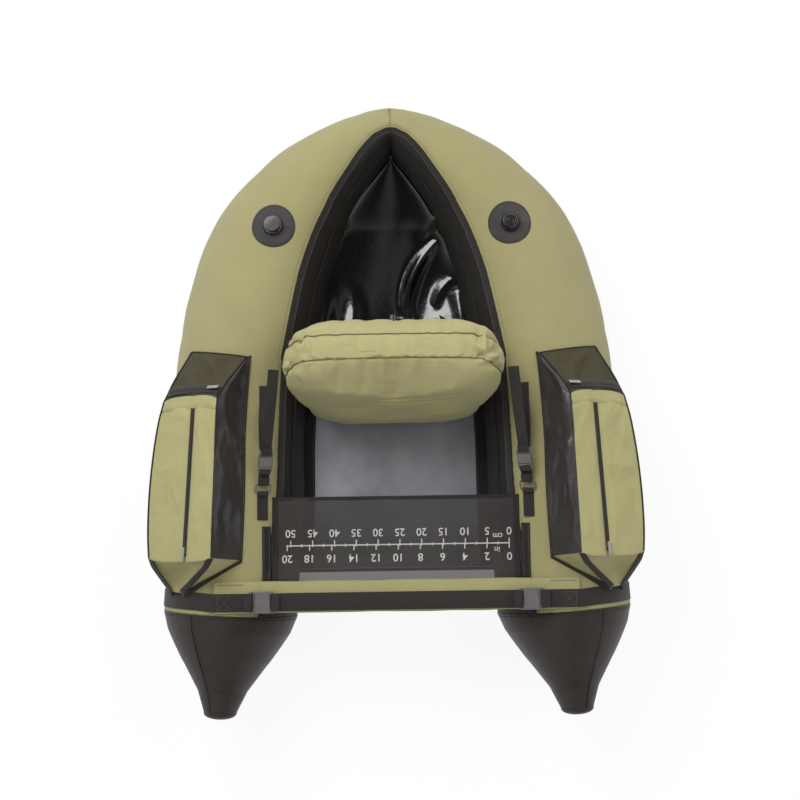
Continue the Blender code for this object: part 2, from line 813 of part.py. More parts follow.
def make_backrest():
    """A stuffed cushion that leans back from its foot: crowned faces, drawn-in sides and a narrow foot."""
    lean = math.radians(-BACKREST_LEAN)
    floor = panel_edge(station_at(BACKREST_Y, PANEL_EDGE_ANGLE)).z + PANEL_THICKNESS
    heel = BACKREST_THICKNESS / 2 * math.sin(-lean) * HEEL_SHARE
    to_middle = BACKREST_THICKNESS / 2 * HINGE_SHARE
    hinge_y = BACKREST_Y - to_middle * math.cos(lean)
    hinge_z = floor + heel + BACKREST_SEAT_GAP - to_middle * math.sin(lean)
    axis = make_empty("backrest_axis", None, (0, hinge_y, hinge_z))
    axis.rotation_euler = (lean, 0, 0)

    full_width = 2 * (RING_HALF_SPAN - TUBE_RADIUS) + BACKREST_OVERHANG
    middle_depth, side_loss, end_loss = CUSHION_CROWN_SHARES
    middle_height, height_loss = CUSHION_ARCH_SHARES

    def build(work):
        bmesh.ops.create_cube(work, size=2)
        bmesh.ops.subdivide_edges(work, edges=work.edges, cuts=2, use_grid_fill=True)
        for vert in work.verts:
            across, through, up = vert.co
            side_share = abs(across)
            top_share = (up + 1) / 2
            half_width = full_width / 2 - BACKREST_FOOT_TAPER / 2 * max(1 - top_share / CUSHION_FULL_SHARE, 0)
            crown = middle_depth - side_loss * side_share**2 - end_loss * abs(up) ** 3
            drawn = 1 - CUSHION_DRAWN_SHARE * (1 - abs(through)) * side_share**3
            arch = middle_height - height_loss * side_share**2
            vert.co = (
                across * half_width * drawn * CUSHION_SPREAD_SHARE,
                through * BACKREST_THICKNESS / 2 * crown,
                BACKREST_HEIGHT / 2 * (1 + up * arch),
            )
    cushion = place("backrest_cushion", mesh_of("backrest_cushion", build), "cushion", axis, (0, to_middle, 0))
    smooth = cushion.modifiers.new("smooth", "SUBSURF")
    smooth.levels = 2
    smooth.render_levels = 2
    back = BACKREST_THICKNESS / 2 * ORAL_VALVE_SEAT_SHARE + ORAL_VALVE_GAP
    turned(
        "backrest_valve",
        [
            (0, ORAL_VALVE_LENGTH),
            (ORAL_VALVE_RADIUS, ORAL_VALVE_LENGTH),
            (ORAL_VALVE_RADIUS, 0),
            (0, 0),
        ],
        "valve",
        axis,
        (0, to_middle + back, BACKREST_HEIGHT * ORAL_VALVE_SHARE),
        12,
    ).rotation_euler = (math.radians(-90), 0, 0)


def make_frame(name, parent, origin, x_axis, y_axis):
    """An empty whose own X and Y point along two directions, the second squared up to the first."""
    x = Vector(x_axis).normalized()
    z = x.cross(Vector(y_axis)).normalized()
    y = z.cross(x)
    made = make_empty(name, parent)
    made.matrix_local = Matrix.Translation(origin) @ Matrix((x, y, z)).transposed().to_4x4()
    return made


def carve(obj, parent, name, low, high):
    """Cuts a box, between two corners in the parent's space, out of an object."""
    low, high = Vector(low), Vector(high)
    mesh = block(name, high - low)
    return cut(obj, as_cutter(place(name, mesh, "metal", parent, (low + high) / 2)))


def wrap(bar_y, bar_half, thickness, tail, lead):
    """Side view, as (along, up), of a web that comes in under a bar, turns up round it and lies back."""
    radius = bar_half + WEB_GAP + thickness / 2
    points = [(bar_y - lead, -radius), (bar_y, -radius)]
    for turn in np.linspace(-90, 90, 7)[1:-1]:
        angle = math.radians(turn)
        points.append((bar_y + radius * math.cos(angle), radius * math.sin(angle)))
    return [*points, (bar_y, radius), (bar_y - tail, radius)]


def make_socket(name, frame, web_width, length):
    """Female half of a side-release buckle. Its mouth faces -Y and its web bar is at the far end."""
    width = web_width + 2 * BUCKLE_MARGIN
    mouth = LATCH_BASE - BUCKLE_BAR / 2 + SEAM_GAP
    end = mouth + length
    low_z = LATCH_THICKNESS / 2
    over = CUTTER_OVERRUN
    socket = place(name, block("socket", (width, length, BUCKLE_HEIGHT)), "buckle", frame, (0, mouth + length / 2, 0))
    soften(socket, BUCKLE_ROUND)
    inner = width / 2 - BUCKLE_WALL
    room = low_z + LATCH_CLEARANCE
    bar = end - BUCKLE_BAR
    slot = web_width / 2 + WEB_SLOT_MARGIN
    depth = length - BUCKLE_BAR - WEB_SLOT - BUCKLE_WALL
    carve(socket, frame, f"{name}_room", (-inner, mouth - over, -room), (inner, mouth + depth, room))
    carve(socket, frame, f"{name}_slot", (-slot, bar - WEB_SLOT, -over), (slot, bar, over))
    step = bar - WEB_SLOT
    carve(socket, frame, f"{name}_over", (-width, step, low_z), (width, end + over, over))
    carve(socket, frame, f"{name}_under", (-width, step, -over), (width, end + over, -low_z))
    window = [mouth + depth * share for share in BUCKLE_WINDOW_SHARES]
    carve(socket, frame, f"{name}_windows", (-width, window[0], -low_z), (width, window[1], low_z))
    return end - BUCKLE_BAR / 2


def make_latch(name, frame, web_width, length):
    """Male half of a side-release buckle: a web bar at Y 0, two sprung arms and a middle tongue."""
    half = web_width / 2 + BUCKLE_MARGIN
    slot = web_width / 2 + WEB_SLOT_MARGIN
    bar = BUCKLE_BAR / 2
    base = LATCH_BASE - bar
    reach = base + length - BUCKLE_BAR - WEB_SLOT - 2 * BUCKLE_WALL
    arm = half - BUCKLE_WALL - LATCH_CLEARANCE
    root = base - BUCKLE_WALL / 2
    tongue = LATCH_TONGUE / 2
    right = [
        (half, -bar),
        (half, base),
        (arm, base),
        (arm, reach - LATCH_ARM),
        (arm - LATCH_ARM / 2, reach),
        (arm - LATCH_ARM, reach),
        (arm - LATCH_ARM, root),
        (tongue, root),
        (tongue, reach - LATCH_ARM),
    ]
    outer = [*right, *[(-x, y) for x, y in reversed(right)]]
    hole = [(-slot, bar), (slot, bar), (slot, bar + WEB_SLOT), (-slot, bar + WEB_SLOT)]
    return outline(name, [outer, hole], LATCH_THICKNESS, "buckle", frame)


def bar_y():
    return RING_Y + BAR_FROM_RING


def sleeve_base(x, y):
    """Height of the sleeve's inner floor: over the tube past the shoulder, level between the shoulders."""
    lift = SLEEVE_GAP + SLEEVE_THICKNESS
    if abs(x) < SLEEVE_SHOULDER:
        return tube_top(SLEEVE_SHOULDER, bar_y() + SLEEVE_WIDTH / 2) + lift
    return tube_top(abs(x), y) + lift


def sleeve_inside(x):
    share = (abs(x) - SLEEVE_SHOULDER) / (SLEEVE_FLAP_START - SLEEVE_SHOULDER)
    share = min(max(share, 0), 1)
    return SLEEVE_HEIGHT + (SLEEVE_FLAP_HEIGHT - SLEEVE_HEIGHT) * share


def sleeve_top(x):
    """Height of the sleeve's outer top where the belt lies on it."""
    edges = (belt_y() - BELT_WIDTH / 2, belt_y() + BELT_WIDTH / 2)
    return max(sleeve_base(x, y) for y in edges) + sleeve_inside(x) + SLEEVE_THICKNESS


def make_crossbar():
    """A stiffening tube inside a wrapped cloth sleeve, whose flat ends lie over the two tubes."""
    straight = [0, SLEEVE_SHOULDER - CUTTER_OVERRUN]
    flap = np.linspace(SLEEVE_SHOULDER, SLEEVE_HALF_LENGTH, 7)
    xs = sorted({*straight, *flap, *[-x for x in straight], *[-x for x in flap]})
    rows = []
    for x in xs:
        inside = sleeve_inside(x)
        row = []
        for along, up in SLEEVE_SHARES:
            y = bar_y() + along * (SLEEVE_WIDTH / 2 - SLEEVE_THICKNESS)
            row.append(Vector((x, y, sleeve_base(x, y) + inside * (1 + up) / 2)))
        rows.append(row)
    sleeve = place("crossbar_sleeve", loft("crossbar_sleeve", rows), "khaki")
    thicken(sleeve, SLEEVE_THICKNESS, 1)
    height = sleeve_base(0, bar_y()) + BAR_RADIUS + REST_GAP
    bore = BAR_RADIUS - BAR_WALL
    turned(
        "crossbar_tube",
        [(bore, BAR_LENGTH / 2), (BAR_RADIUS, BAR_LENGTH / 2), (BAR_RADIUS, -BAR_LENGTH / 2), (bore, -BAR_LENGTH / 2)],
        "alloy",
        None,
        (0, bar_y(), height),
        20,
    ).rotation_euler = (0, math.radians(90), 0)


def belt_y():
    return bar_y() - BELT_OFFSET


def belt_latch_height():
    """Height of the latch's web bar, with its web's lower strand just clear of the sleeve."""
    under = BAR_REACH + WEB_GAP + BELT_THICKNESS
    ends = (BELT_LATCH_X, BELT_LATCH_X - LATCH_BASE, BELT_LATCH_X + WEB_TAIL)
    return max(sleeve_top(x) for x in ends) + REST_GAP + under


def make_belt():
    """The web that runs across the sleeve between the two sockets."""
    length = LATCH_BASE + BELT_SOCKET_LENGTH - BUCKLE_BAR + SEAM_GAP
    bar_x = BELT_LATCH_X - length
    height = belt_latch_height()
    end = [(x, height + up) for x, up in wrap(bar_x, BAR_REACH, BELT_THICKNESS, WEB_TAIL, WEB_TAIL)]
    low = sleeve_top(0) + REST_GAP + BELT_THICKNESS / 2
    flat = [(bar_x - 3 * WEB_TAIL, low), (bar_x / 2, low)]
    right = [*reversed(flat), *end]
    path = [(-x, belt_y(), z) for x, z in reversed(right)]
    path += [(x, belt_y(), z) for x, z in right]
    ribbon("belt_web", path, (0, 1, 0), BELT_WIDTH, BELT_THICKNESS, "webbing")


def make_belt_side(side, tag):
    """One side's buckle and the web that ties its latch down over the tube's outer flank."""
    y = belt_y()
    height = belt_latch_height()
    frame = make_frame(f"belt_buckle_{tag}", side, (BELT_LATCH_X, y, height), (0, 1, 0), (-1, 0, 0))
    make_socket(f"belt_socket_{tag}", frame, BELT_WIDTH, BELT_SOCKET_LENGTH)
    make_latch(f"belt_latch_{tag}", frame, BELT_WIDTH, BELT_SOCKET_LENGTH)
    turn = wrap(0, BAR_REACH, BELT_THICKNESS, WEB_TAIL, WEB_TAIL)
    path = [(BELT_LATCH_X - along, y, height + up) for along, up in reversed(turn)]
    u = station_at(y)
    lift = BELT_GAP + BELT_THICKNESS / 2
    over = BELT_LATCH_X + 2 * WEB_TAIL
    path += [(x, y, sleeve_top(x) + lift) for x in np.linspace(over, SLEEVE_HALF_LENGTH, 4)]
    across = [Vector((0, 1, 0))] * len(path)
    for angle in np.linspace(BELT_DROP_ANGLE, BELT_END_ANGLE, 9):
        path.append(tube_point(u, angle, lift))
        across.append(tube_point(u - BELT_STEP_STATIONS, angle) - tube_point(u + BELT_STEP_STATIONS, angle))
    ribbon(f"belt_anchor_{tag}", path, across, BELT_WIDTH, BELT_THICKNESS, "webbing", side)


def apron_front():
    return bar_y() + SLEEVE_WIDTH / 2 + APRON_BAR_GAP


def apron_level():
    return sleeve_base(0, bar_y())


def apron_height(x, y):
    """The apron hangs between the tube shoulders, rises to the crossbar and drapes where a tube is higher."""
    lift = REST_GAP + APRON_HEM_THICKNESS / 2
    edge = tube_top(APRON_HALF_WIDTH, y) + lift
    share = min(abs(x) / APRON_HALF_WIDTH, 1)
    hung = edge - APRON_SAG * (1 - share**2)
    near = min(max(1 - (y - apron_front()) / APRON_RISE, 0), 1)
    near = near * near * (3 - 2 * near)
    hung += (max(apron_level(), edge) - hung) * near
    if abs(x) < APRON_HALF_WIDTH - APRON_HEM:
        return hung
    return max(hung, tube_top(abs(x), y) + lift)


def make_apron():
    """A see-through apron between the tubes, in a narrow hem with a wide band at each front side."""
    front = apron_front()
    rear = front + APRON_DEPTH
    inner = APRON_HALF_WIDTH - APRON_HEM
    bands = np.linspace(APRON_HALF_WIDTH, APRON_HALF_WIDTH + APRON_BAND_WIDTH, 4)
    middles = np.linspace(-inner, inner, 7)
    xs = [*[-x for x in reversed(bands)], *middles, *bands]
    band_end = front + APRON_BAND_DEPTH
    ys = [*np.linspace(front, front + APRON_RISE, 4), (front + APRON_RISE + band_end) / 2, band_end]
    ys += [(band_end + rear - APRON_HEM) / 2, rear - APRON_HEM, rear]
    rows = [[Vector((x, y, apron_height(x, y))) for x in xs] for y in ys]
    last = len(xs) - 2

    def in_hem(i, j):
        edge = min(j, last - j)
        banded = edge < 3 and ys[i + 1] <= band_end
        return banded or edge == 3 or (edge > 3 and i == len(ys) - 2)
    hem = place("apron_hem", loft("apron_hem", rows, keep=in_hem), "black_cloth")
    thicken(hem, APRON_HEM_THICKNESS, 0)
    width = inner - SEAM_GAP
    depth = rear - APRON_HEM - SEAM_GAP
    ys = [y for y in ys if y < depth - SEAM_GAP] + [depth]
    rows = [[Vector((x, y, apron_height(x, y))) for x in np.linspace(-width, width, 7)] for y in ys]
    mesh = place("apron_mesh", loft("apron_mesh", rows), "mesh_cloth")
    thicken(mesh, APRON_THICKNESS, 0)


def ribbon_height(x, y, across, width, thickness):
    """Height of the middle of a flat web that lies across the tube's shoulder, just clear of it."""
    tops = []
    for share in np.linspace(-1, 1, 5):
        step = across * width / 2 * share
        tops.append(tube_top(x + step.x, y) - step.z)
    return max(tops) + REST_GAP + thickness / 2


def make_stay(side, tag):
    """The stay that ties the backrest to the tube: tab, ring, web, buckle and wide strap, in one line."""
    foot_y = RING_Y + STAY_FROM_RING
    top = Vector((STAY_TOP_X, RING_Y + STAY_TOP_FROM_RING, STAY_TOP_HEIGHT))
    guess = Vector((STAY_X, foot_y, tube_top(STAY_X, foot_y)))
    lean = top - guess
    across = Vector((lean.z, 0, -lean.x)).normalized()
    wrap_radius = RING_WIRE + WEB_GAP + STRAP_THICKNESS / 2
    height = ribbon_height(STAY_X, foot_y, across, STAY_WEB_WIDTH, STRAP_THICKNESS)
    foot = Vector((STAY_X, foot_y, height + wrap_radius))
    frame = make_frame(f"stay_line_{tag}", side, foot, across, top - foot)
    half = RING_WIDTH / 2
    ring = []
    for x, y, first in ((1, 1, 0), (-1, 1, 90), (-1, 0, 180), (1, 0, 270)):
        middle = (x * (half - RING_CORNER), y * RING_DEPTH + (RING_CORNER if y == 0 else -RING_CORNER))
        for turn in (first, first + 45, first + 90):
            angle = math.radians(turn)
            ring.append((middle[0] + RING_CORNER * math.cos(angle), middle[1] + RING_CORNER * math.sin(angle), 0))
    rod(f"stay_ring_{tag}", ring, RING_WIRE, "metal", frame, cyclic=True)
    flat_frame = make_frame(f"tab_line_{tag}", side, foot, across, (0, 1, 0))
    turn = wrap(0, RING_WIRE, STRAP_THICKNESS, WEB_TAIL / 2, TAB_LENGTH)
    path = [(0, along, up) for along, up in turn]
    ribbon(f"stay_tab_{tag}", path, (1, 0, 0), STAY_WEB_WIDTH, STRAP_THICKNESS, "webbing", flat_frame)
    crown = RING_DEPTH
    latch_y = crown + STAY_WEB_LENGTH
    low = wrap(-crown, RING_WIRE, STRAP_THICKNESS, STAY_WEB_LENGTH / 2, STAY_WEB_LENGTH / 2)
    high = wrap(latch_y, BAR_REACH, STRAP_THICKNESS, WEB_TAIL / 2, STAY_WEB_LENGTH / 3)
    path = [(0, -along, up) for along, up in reversed(low)] + [(0, along, up) for along, up in high]
    ribbon(f"stay_web_{tag}", path, (1, 0, 0), STAY_WEB_WIDTH, STRAP_THICKNESS, "webbing", frame)
    buckle = make_empty(f"stay_buckle_{tag}", frame, (0, latch_y, 0))
    make_latch(f"stay_latch_{tag}", buckle, STAY_WEB_WIDTH, STAY_SOCKET_LENGTH)
    bar = make_socket(f"stay_socket_{tag}", buckle, STAY_WEB_WIDTH, STAY_SOCKET_LENGTH) + latch_y
    end = (top - foot).length
    turn = wrap(-bar, BAR_REACH, STRAP_THICKNESS, WEB_TAIL, WEB_TAIL)
    path = [(0, -along, up) for along, up in turn]
    path = [*reversed(path), (0, (bar + end) / 2, 0), (0, end, 0)]
    ribbon(f"stay_strap_{tag}", path, (1, 0, 0), STAY_WEB_WIDTH, STRAP_THICKNESS, "webbing", frame)
    make_rear_tab(side, tag, across)


def make_rear_tab(side, tag, across):
    """A web sewn down behind the stay, that arches forward over the tube to a second seam."""
    start = RING_Y + REAR_TAB_FROM_RING
    ys = [start, start - REAR_TAB_LENGTH / 2, start - REAR_TAB_LENGTH]
    rises = [0, 0, 0]
    for share in np.linspace(0, 1, 8)[1:]:
        ys.append(start - REAR_TAB_LENGTH - REAR_LOOP_LENGTH * share)
        rises.append(REAR_LOOP_RISE * math.sin(math.pi * share))
    path = []
    for y, rise in zip(ys, rises):
        height = ribbon_height(REAR_TAB_X, y, across, REAR_TAB_WIDTH, STRAP_THICKNESS)
        path.append((REAR_TAB_X, y, height + rise))
    ribbon(f"rear_tab_{tag}", path, across, REAR_TAB_WIDTH, STRAP_THICKNESS, "webbing", side)


def pocket_swell(y):
    """How much further out the pocket's outer top edge stands between its crest and its front."""
    share = (RING_Y + POCKET_CREST_FROM_RING - y) / (POCKET_CREST_FROM_RING - POCKET_FRONT_FROM_RING)
    return POCKET_SWELL * 4 * share * (1 - share)


def pocket_top(y):
    """The pocket's inner and outer top corners, before its swell, and its side's bend."""
    crest = RING_Y + POCKET_CREST_FROM_RING
    front = RING_Y + POCKET_FRONT_FROM_RING
    share = (crest - y) / (crest - front)
    ends = [station(station_at(place_y))[0] for place_y in (crest, front)]
    middle = ends[0].lerp(ends[1], share)
    level = middle.z + TUBE_RADIUS
    inner = Vector((middle.x + POCKET_INSET, y, level + POCKET_RISE))
    bulge = POCKET_CREST_BULGE + (POCKET_FRONT_BULGE - POCKET_CREST_BULGE) * share
    outer = Vector((middle.x + TUBE_RADIUS + bulge, y, level + POCKET_OUTER_RISE))
    side = Vector((middle.x + TUBE_RADIUS + POCKET_SIDE_BULGE, y, level + POCKET_SIDE_RISE))
    return inner, outer, side


def pocket_row(y, low_angle, high_angle, gap, tops):
    """One ring round the pocket: its floor on the tube from outside in, then over its top and back down."""
    u = station_at(y)
    count = POCKET_FOOT_FACETS[1] - POCKET_FOOT_FACETS[0]
    floor = [tube_point(u, angle, gap) for angle in np.linspace(low_angle, high_angle, count + 1)]
    row = [*floor, *tops]
    for point in row:
        point.y = y
    return row


def pocket_end(y, angles, gap):
    """The row of top points where the pocket's slope runs out on the tube."""
    u = station_at(y)
    high, low = angles
    spots = [high + (low - high) * share for share in (*POCKET_TOP_SHARES, 1)]
    past, outer, side = POCKET_END_SHARES
    spots[0] -= (high - low) * past
    spots[-2:] = low + (high - low) * outer, low + (high - low) * side
    return [tube_point(u, angle, gap + POCKET_LIP) for angle in spots]


def pocket_rows():
    """Rings from the rear edge, up the mesh slope, along the crest and down the front slope to its tip."""
    rear_y, crest, front, tip_y = (
        RING_Y + distance
        for distance in (
            POCKET_REAR_FROM_RING,
            POCKET_CREST_FROM_RING,
            POCKET_FRONT_FROM_RING,
            POCKET_TIP_FROM_RING,
        )
    )

    def tops_at(y):
        inner, outer, side = pocket_top(y)
        tops = [inner.lerp(outer, share) for share in POCKET_TOP_SHARES]
        for point, share in zip(tops, POCKET_TOP_SHARES):
            point.x += pocket_swell(y) * max(0, 2 * share - 1)
        return [*tops, side]

    def feet_at(y):
        facets = top_angles(station_at(y), SEAM_GAP / 2)
        return facets[POCKET_FOOT_FACETS[0]], facets[POCKET_FOOT_FACETS[1]]

    def slope(y_from, y_to, feet, gaps, share, ends):
        y = y_from + (y_to - y_from) * share
        low, high = (a + (b - a) * share for a, b in zip(feet[0], feet[1]))
        gap = gaps[0] + (gaps[1] - gaps[0]) * min(2 * share, 1)
        tops = [a.lerp(b, share) for a, b in zip(*ends)]
        return pocket_row(y, low, high, gap, tops)

    feet = feet_at(crest)
    rear_feet = (POCKET_REAR_ANGLE, feet[1])
    rear_ends = (tops_at(crest), pocket_end(rear_y, (feet[1], POCKET_REAR_ANGLE), POCKET_REAR_GAP))
    gaps = (POCKET_GAP, POCKET_REAR_GAP)
    rows = []
    for share in (1, *reversed(POCKET_SLOPE_SHARES)):
        rows.append(slope(crest, rear_y, (feet, rear_feet), gaps, share, rear_ends))
    ridge = [crest, *[y for y in (station(u)[0].y for u in (9, 10, 11)) if front < y < crest], front]
    for y in ridge:
        rows.append(pocket_row(y, *feet_at(y), POCKET_GAP, tops_at(y)))
    feet = feet_at(front)
    front_ends = (tops_at(front), pocket_end(tip_y, POCKET_TIP_ANGLES[::-1], POCKET_TIP_GAP))
    gaps = (POCKET_GAP, POCKET_TIP_GAP)
    for share in (*POCKET_SLOPE_SHARES, 1):
        rows.append(slope(front, tip_y, (feet, POCKET_TIP_ANGLES), gaps, share, front_ends))
    return rows


def rear_face(rows, back, share):
    """A point on the pocket's sloping rear face: back from 0 at the crest to 1, share across the top."""
    floor_count = POCKET_FOOT_FACETS[1] - POCKET_FOOT_FACETS[0] + 1
    last = len(POCKET_TOP_SHARES) - 1
    step = share * last
    i = min(int(step), last - 1)
    lines = []
    for row in (rows[len(POCKET_SLOPE_SHARES) + 1], rows[0]):
        tops = row[floor_count : floor_count + last + 1]
        lines.append(tops[i].lerp(tops[i + 1], step - i))
    return lines[0].lerp(lines[1], back)


def face_patch(rows, backs, shares, lift):
    """Rows of points lifted off the rear face, and the face's normal near their middle."""
    points = []
    for back in backs:
        row = []
        for share in shares:
            here = rear_face(rows, back, share)
            aside = rear_face(rows, back, share + PROBE_SHARE) - here
            behind = rear_face(rows, back + PROBE_SHARE, share) - here
            normal = aside.cross(behind).normalized()
            row.append(here + normal * lift)
        points.append(row)
    return points, normal


def make_slider(name, parent, origin, along, up):
    """A zip slider with its pull lying forward, drawn from the side and as wide as its body."""
    body = SLIDER_LENGTH / 2
    step = SLIDER_HEIGHT * SLIDER_STEP_SHARE
    profile = [
        (-body, 0),
        (body, 0),
        (body, step),
        (body + PULL_LENGTH, step),
        (body + PULL_LENGTH, step + PULL_THICKNESS),
        (body, SLIDER_HEIGHT),
        (-body * SLIDER_NOSE_SHARE, SLIDER_HEIGHT),
        (-body, SLIDER_HEIGHT * SLIDER_NOSE_SHARE),
    ]
    frame = make_frame(f"{name}_axis", parent, origin, along, up)
    outline(name, [profile], SLIDER_WIDTH, "metal", frame)


def make_pocket(side, tag):
    """A closed pocket on the tube's shoulder, with a long top zip, and a zipped mesh face behind."""
    rows = pocket_rows()
    place(f"pocket_{tag}", loft("pocket", rows, closed=True, capped=True), "khaki", side)
    depth = POCKET_REAR_FROM_RING - POCKET_CREST_FROM_RING
    band = (FACE_GAP * 3 / depth, (FACE_GAP * 3 + BAND_WIDTH) / depth)
    backs = np.linspace(band[1] + FACE_GAP / depth, 1 - MESH_MARGIN / depth, 4)
    panel, _ = face_patch(rows, backs, FACE_SHARES, FACE_GAP + MESH_THICKNESS)
    thicken(place(f"pocket_mesh_{tag}", loft("pocket_mesh", panel), "mesh_cloth", side), MESH_THICKNESS)
    tape, _ = face_patch(rows, band, FACE_SHARES, FACE_GAP + ZIP_THICKNESS)
    thicken(place(f"mesh_zip_{tag}", loft("mesh_zip", tape), "black_cloth", side), ZIP_THICKNESS)
    lift = FACE_GAP + ZIP_THICKNESS + SLIDER_GAP
    points, normal = face_patch(rows, (sum(band) / 2,), (0, BAND_SLIDER_SHARE), lift)
    edge, seat = points[0]
    make_slider(f"mesh_slider_{tag}", side, seat, edge - seat, normal)
    crest = RING_Y + POCKET_CREST_FROM_RING - ZIP_END
    front = RING_Y + POCKET_FRONT_FROM_RING + ZIP_END
    lines = []
    for y in (crest, front):
        inner, outer, _ = pocket_top(y)
        lines.append((inner.lerp(outer, ZIP_SHARE), (outer - inner).normalized()))
    (rear_end, across), (front_end, _) = lines
    along = (rear_end - front_end).normalized()
    up = across.cross(along).normalized()
    lift = up * (ZIP_GAP + ZIP_THICKNESS / 2)
    path = [front_end + lift, rear_end + lift]
    ribbon(f"pocket_zip_{tag}", path, across, ZIP_WIDTH, ZIP_THICKNESS, "black_cloth", side)
    seat = front_end + along * SLIDER_LENGTH + up * (ZIP_GAP + ZIP_THICKNESS + SLIDER_GAP)
    make_slider(f"zip_slider_{tag}", side, seat, -along, up)


clear_scene()
PARTS = make_collection("float_tube")
CUTTERS = make_collection("float_tube_cutters")
MATERIALS = {name: make_material(name) for name in COLOURS}
make_floor()
make_backrest()
make_crossbar()
make_belt()
make_apron()
for tag, mirror in (("right", 1), ("left", -1)):
    side = make_empty(f"side_{tag}")
    side.scale.x = mirror
    make_covers(side, tag)
    make_cone(side, tag)
    make_bladder(side, tag)
    make_patch(side, tag)
    make_valve(side, tag)
    make_wall(side, tag)
    make_belt_side(side, tag)
    make_stay(side, tag)
    make_pocket(side, tag)
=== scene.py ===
import functools
import math
from itertools import product

import bmesh
import bpy
import numpy as np
from mathutils import Matrix, Vector


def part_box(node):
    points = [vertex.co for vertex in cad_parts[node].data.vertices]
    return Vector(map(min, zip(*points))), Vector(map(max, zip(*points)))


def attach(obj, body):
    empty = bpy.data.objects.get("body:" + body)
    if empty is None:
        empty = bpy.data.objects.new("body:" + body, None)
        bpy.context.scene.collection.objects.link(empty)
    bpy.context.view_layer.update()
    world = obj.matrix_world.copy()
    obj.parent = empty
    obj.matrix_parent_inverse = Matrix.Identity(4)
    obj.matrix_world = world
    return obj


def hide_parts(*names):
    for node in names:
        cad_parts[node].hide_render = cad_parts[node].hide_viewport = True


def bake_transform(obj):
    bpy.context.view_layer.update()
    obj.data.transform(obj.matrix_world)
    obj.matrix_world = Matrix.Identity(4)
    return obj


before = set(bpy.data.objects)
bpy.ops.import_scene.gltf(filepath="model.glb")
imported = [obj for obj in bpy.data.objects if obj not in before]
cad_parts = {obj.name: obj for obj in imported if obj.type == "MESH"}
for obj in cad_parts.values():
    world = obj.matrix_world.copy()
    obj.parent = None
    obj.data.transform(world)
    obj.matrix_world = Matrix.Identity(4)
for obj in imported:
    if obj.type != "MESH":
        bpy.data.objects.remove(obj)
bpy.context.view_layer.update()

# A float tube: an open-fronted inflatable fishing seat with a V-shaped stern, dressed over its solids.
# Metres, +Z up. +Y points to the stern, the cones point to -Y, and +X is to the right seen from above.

SIDES = (("right", 1), ("left", -1))

# The tube, from the middle of the stern to the ring where a cone is sewn on.
LENGTH = 1.436
CONE_LENGTH = 0.242
BODY_LENGTH = LENGTH - CONE_LENGTH
RING_Y = CONE_LENGTH - LENGTH / 2
TUBE_RADIUS = 0.156
RING_HALF_SPAN = 0.393
STERN_RISE = 0.130
TIP_RISE = 0.046
TIP_SPREAD = 0.0065
FLAT_HALF_ANGLE = 9.0
OUTER_SEAM_ANGLE = -30.0
MIDDLE_GAP = 0.00015
CLOTH = 0.0012

# Shares of the half span, body length, radius across and upright, and stern rise, and the inner seam's angle.
STATION_SHARES = (
    (0.000, 0.042, 0.320, 0.545, 1.00, 37),
    (0.173, 0.069, 0.436, 0.590, 0.90, 38),
    (0.453, 0.138, 0.705, 0.757, 0.54, 40),
    (0.585, 0.190, 0.820, 0.850, 0.31, 41),
    (0.697, 0.249, 0.917, 0.930, 0.13, 42),
    (0.784, 0.315, 0.971, 0.975, 0.04, 43),
    (0.837, 0.381, 0.994, 1.000, 0.00, 43),
    (0.897, 0.465, 1.000, 1.000, 0.00, 44),
    (0.929, 0.518, 1.000, 1.000, 0.00, 44),
    (0.959, 0.652, 1.000, 1.000, 0.00, 44),
    (0.964, 0.771, 1.000, 1.000, 0.00, 42),
    (0.982, 0.905, 1.000, 1.000, 0.00, 35),
    (1.000, 1.000, 1.000, 1.000, 0.00, 30),
)
RING_STATION = len(STATION_SHARES) - 1
# How far the black cloth laps over the upper skin, by station, and how full the skin is on its outer side.
LAPS = (
    (0.0, 0.0290), (0.5, 0.0325), (0.75, 0.0380), (1.0, 0.0355), (1.25, 0.0305), (1.5, 0.0225),
    (1.75, 0.0170), (2.0, 0.0135), (2.5, 0.0125), (5.0, 0.0145), (7.2, 0.0140), (8.3, 0.0040), (9.0, 0.0),
)
FULLNESS = (
    (0.2, 0.0), (0.6, 0.0034), (0.9, 0.0058), (1.2, 0.0056), (1.5, 0.0030), (1.8, -0.0010),
    (2.1, -0.0020), (2.4, -0.0010), (2.7, 0.0), (3.0, 0.0012), (3.6, 0.0045), (4.2, 0.0068),
    (6.5, 0.0075), (7.5, 0.0),
)
CONE_SHARES = ((0, 1), (0.17, 0.905), (0.45, 0.655), (0.74, 0.36), (0.93, 0.24))
CONE_TIP_SHARE = 0.93

# Floor of the seat and the deck, the crossbar and the apron.
PANEL_EDGE_ANGLE = 200.0
PANEL_EDGE_OUT = 0.0020
STERN_STATION = 0.12
STERN_HALF_WIDTH = 0.004
SEAT_FRONT = RING_Y + 0.097
SEAT_SAG = 0.012
DECK_SAG = 0.016
BAR_Y = RING_Y + 0.0405
SLEEVE_WIDTH = 0.069
SLEEVE_HEIGHT = 0.025
SLEEVE_FLAP_HEIGHT = 0.0035
SLEEVE_HALF_LENGTH = 0.412
SLEEVE_SHOULDER = 0.300
SLEEVE_FLAP_START = 0.365
SLEEVE_LIFT = 0.0018
APRON_FRONT = BAR_Y + SLEEVE_WIDTH / 2 + 0.0006
APRON_REAR = APRON_FRONT + 0.190
APRON_HALF_WIDTH = 0.278
APRON_BAND_WIDTH = 0.026
APRON_BAND_DEPTH = 0.124
APRON_HEM = 0.008
APRON_SAG = 0.012
APRON_RISE = 0.060
TAPE_LIFT = 0.0008

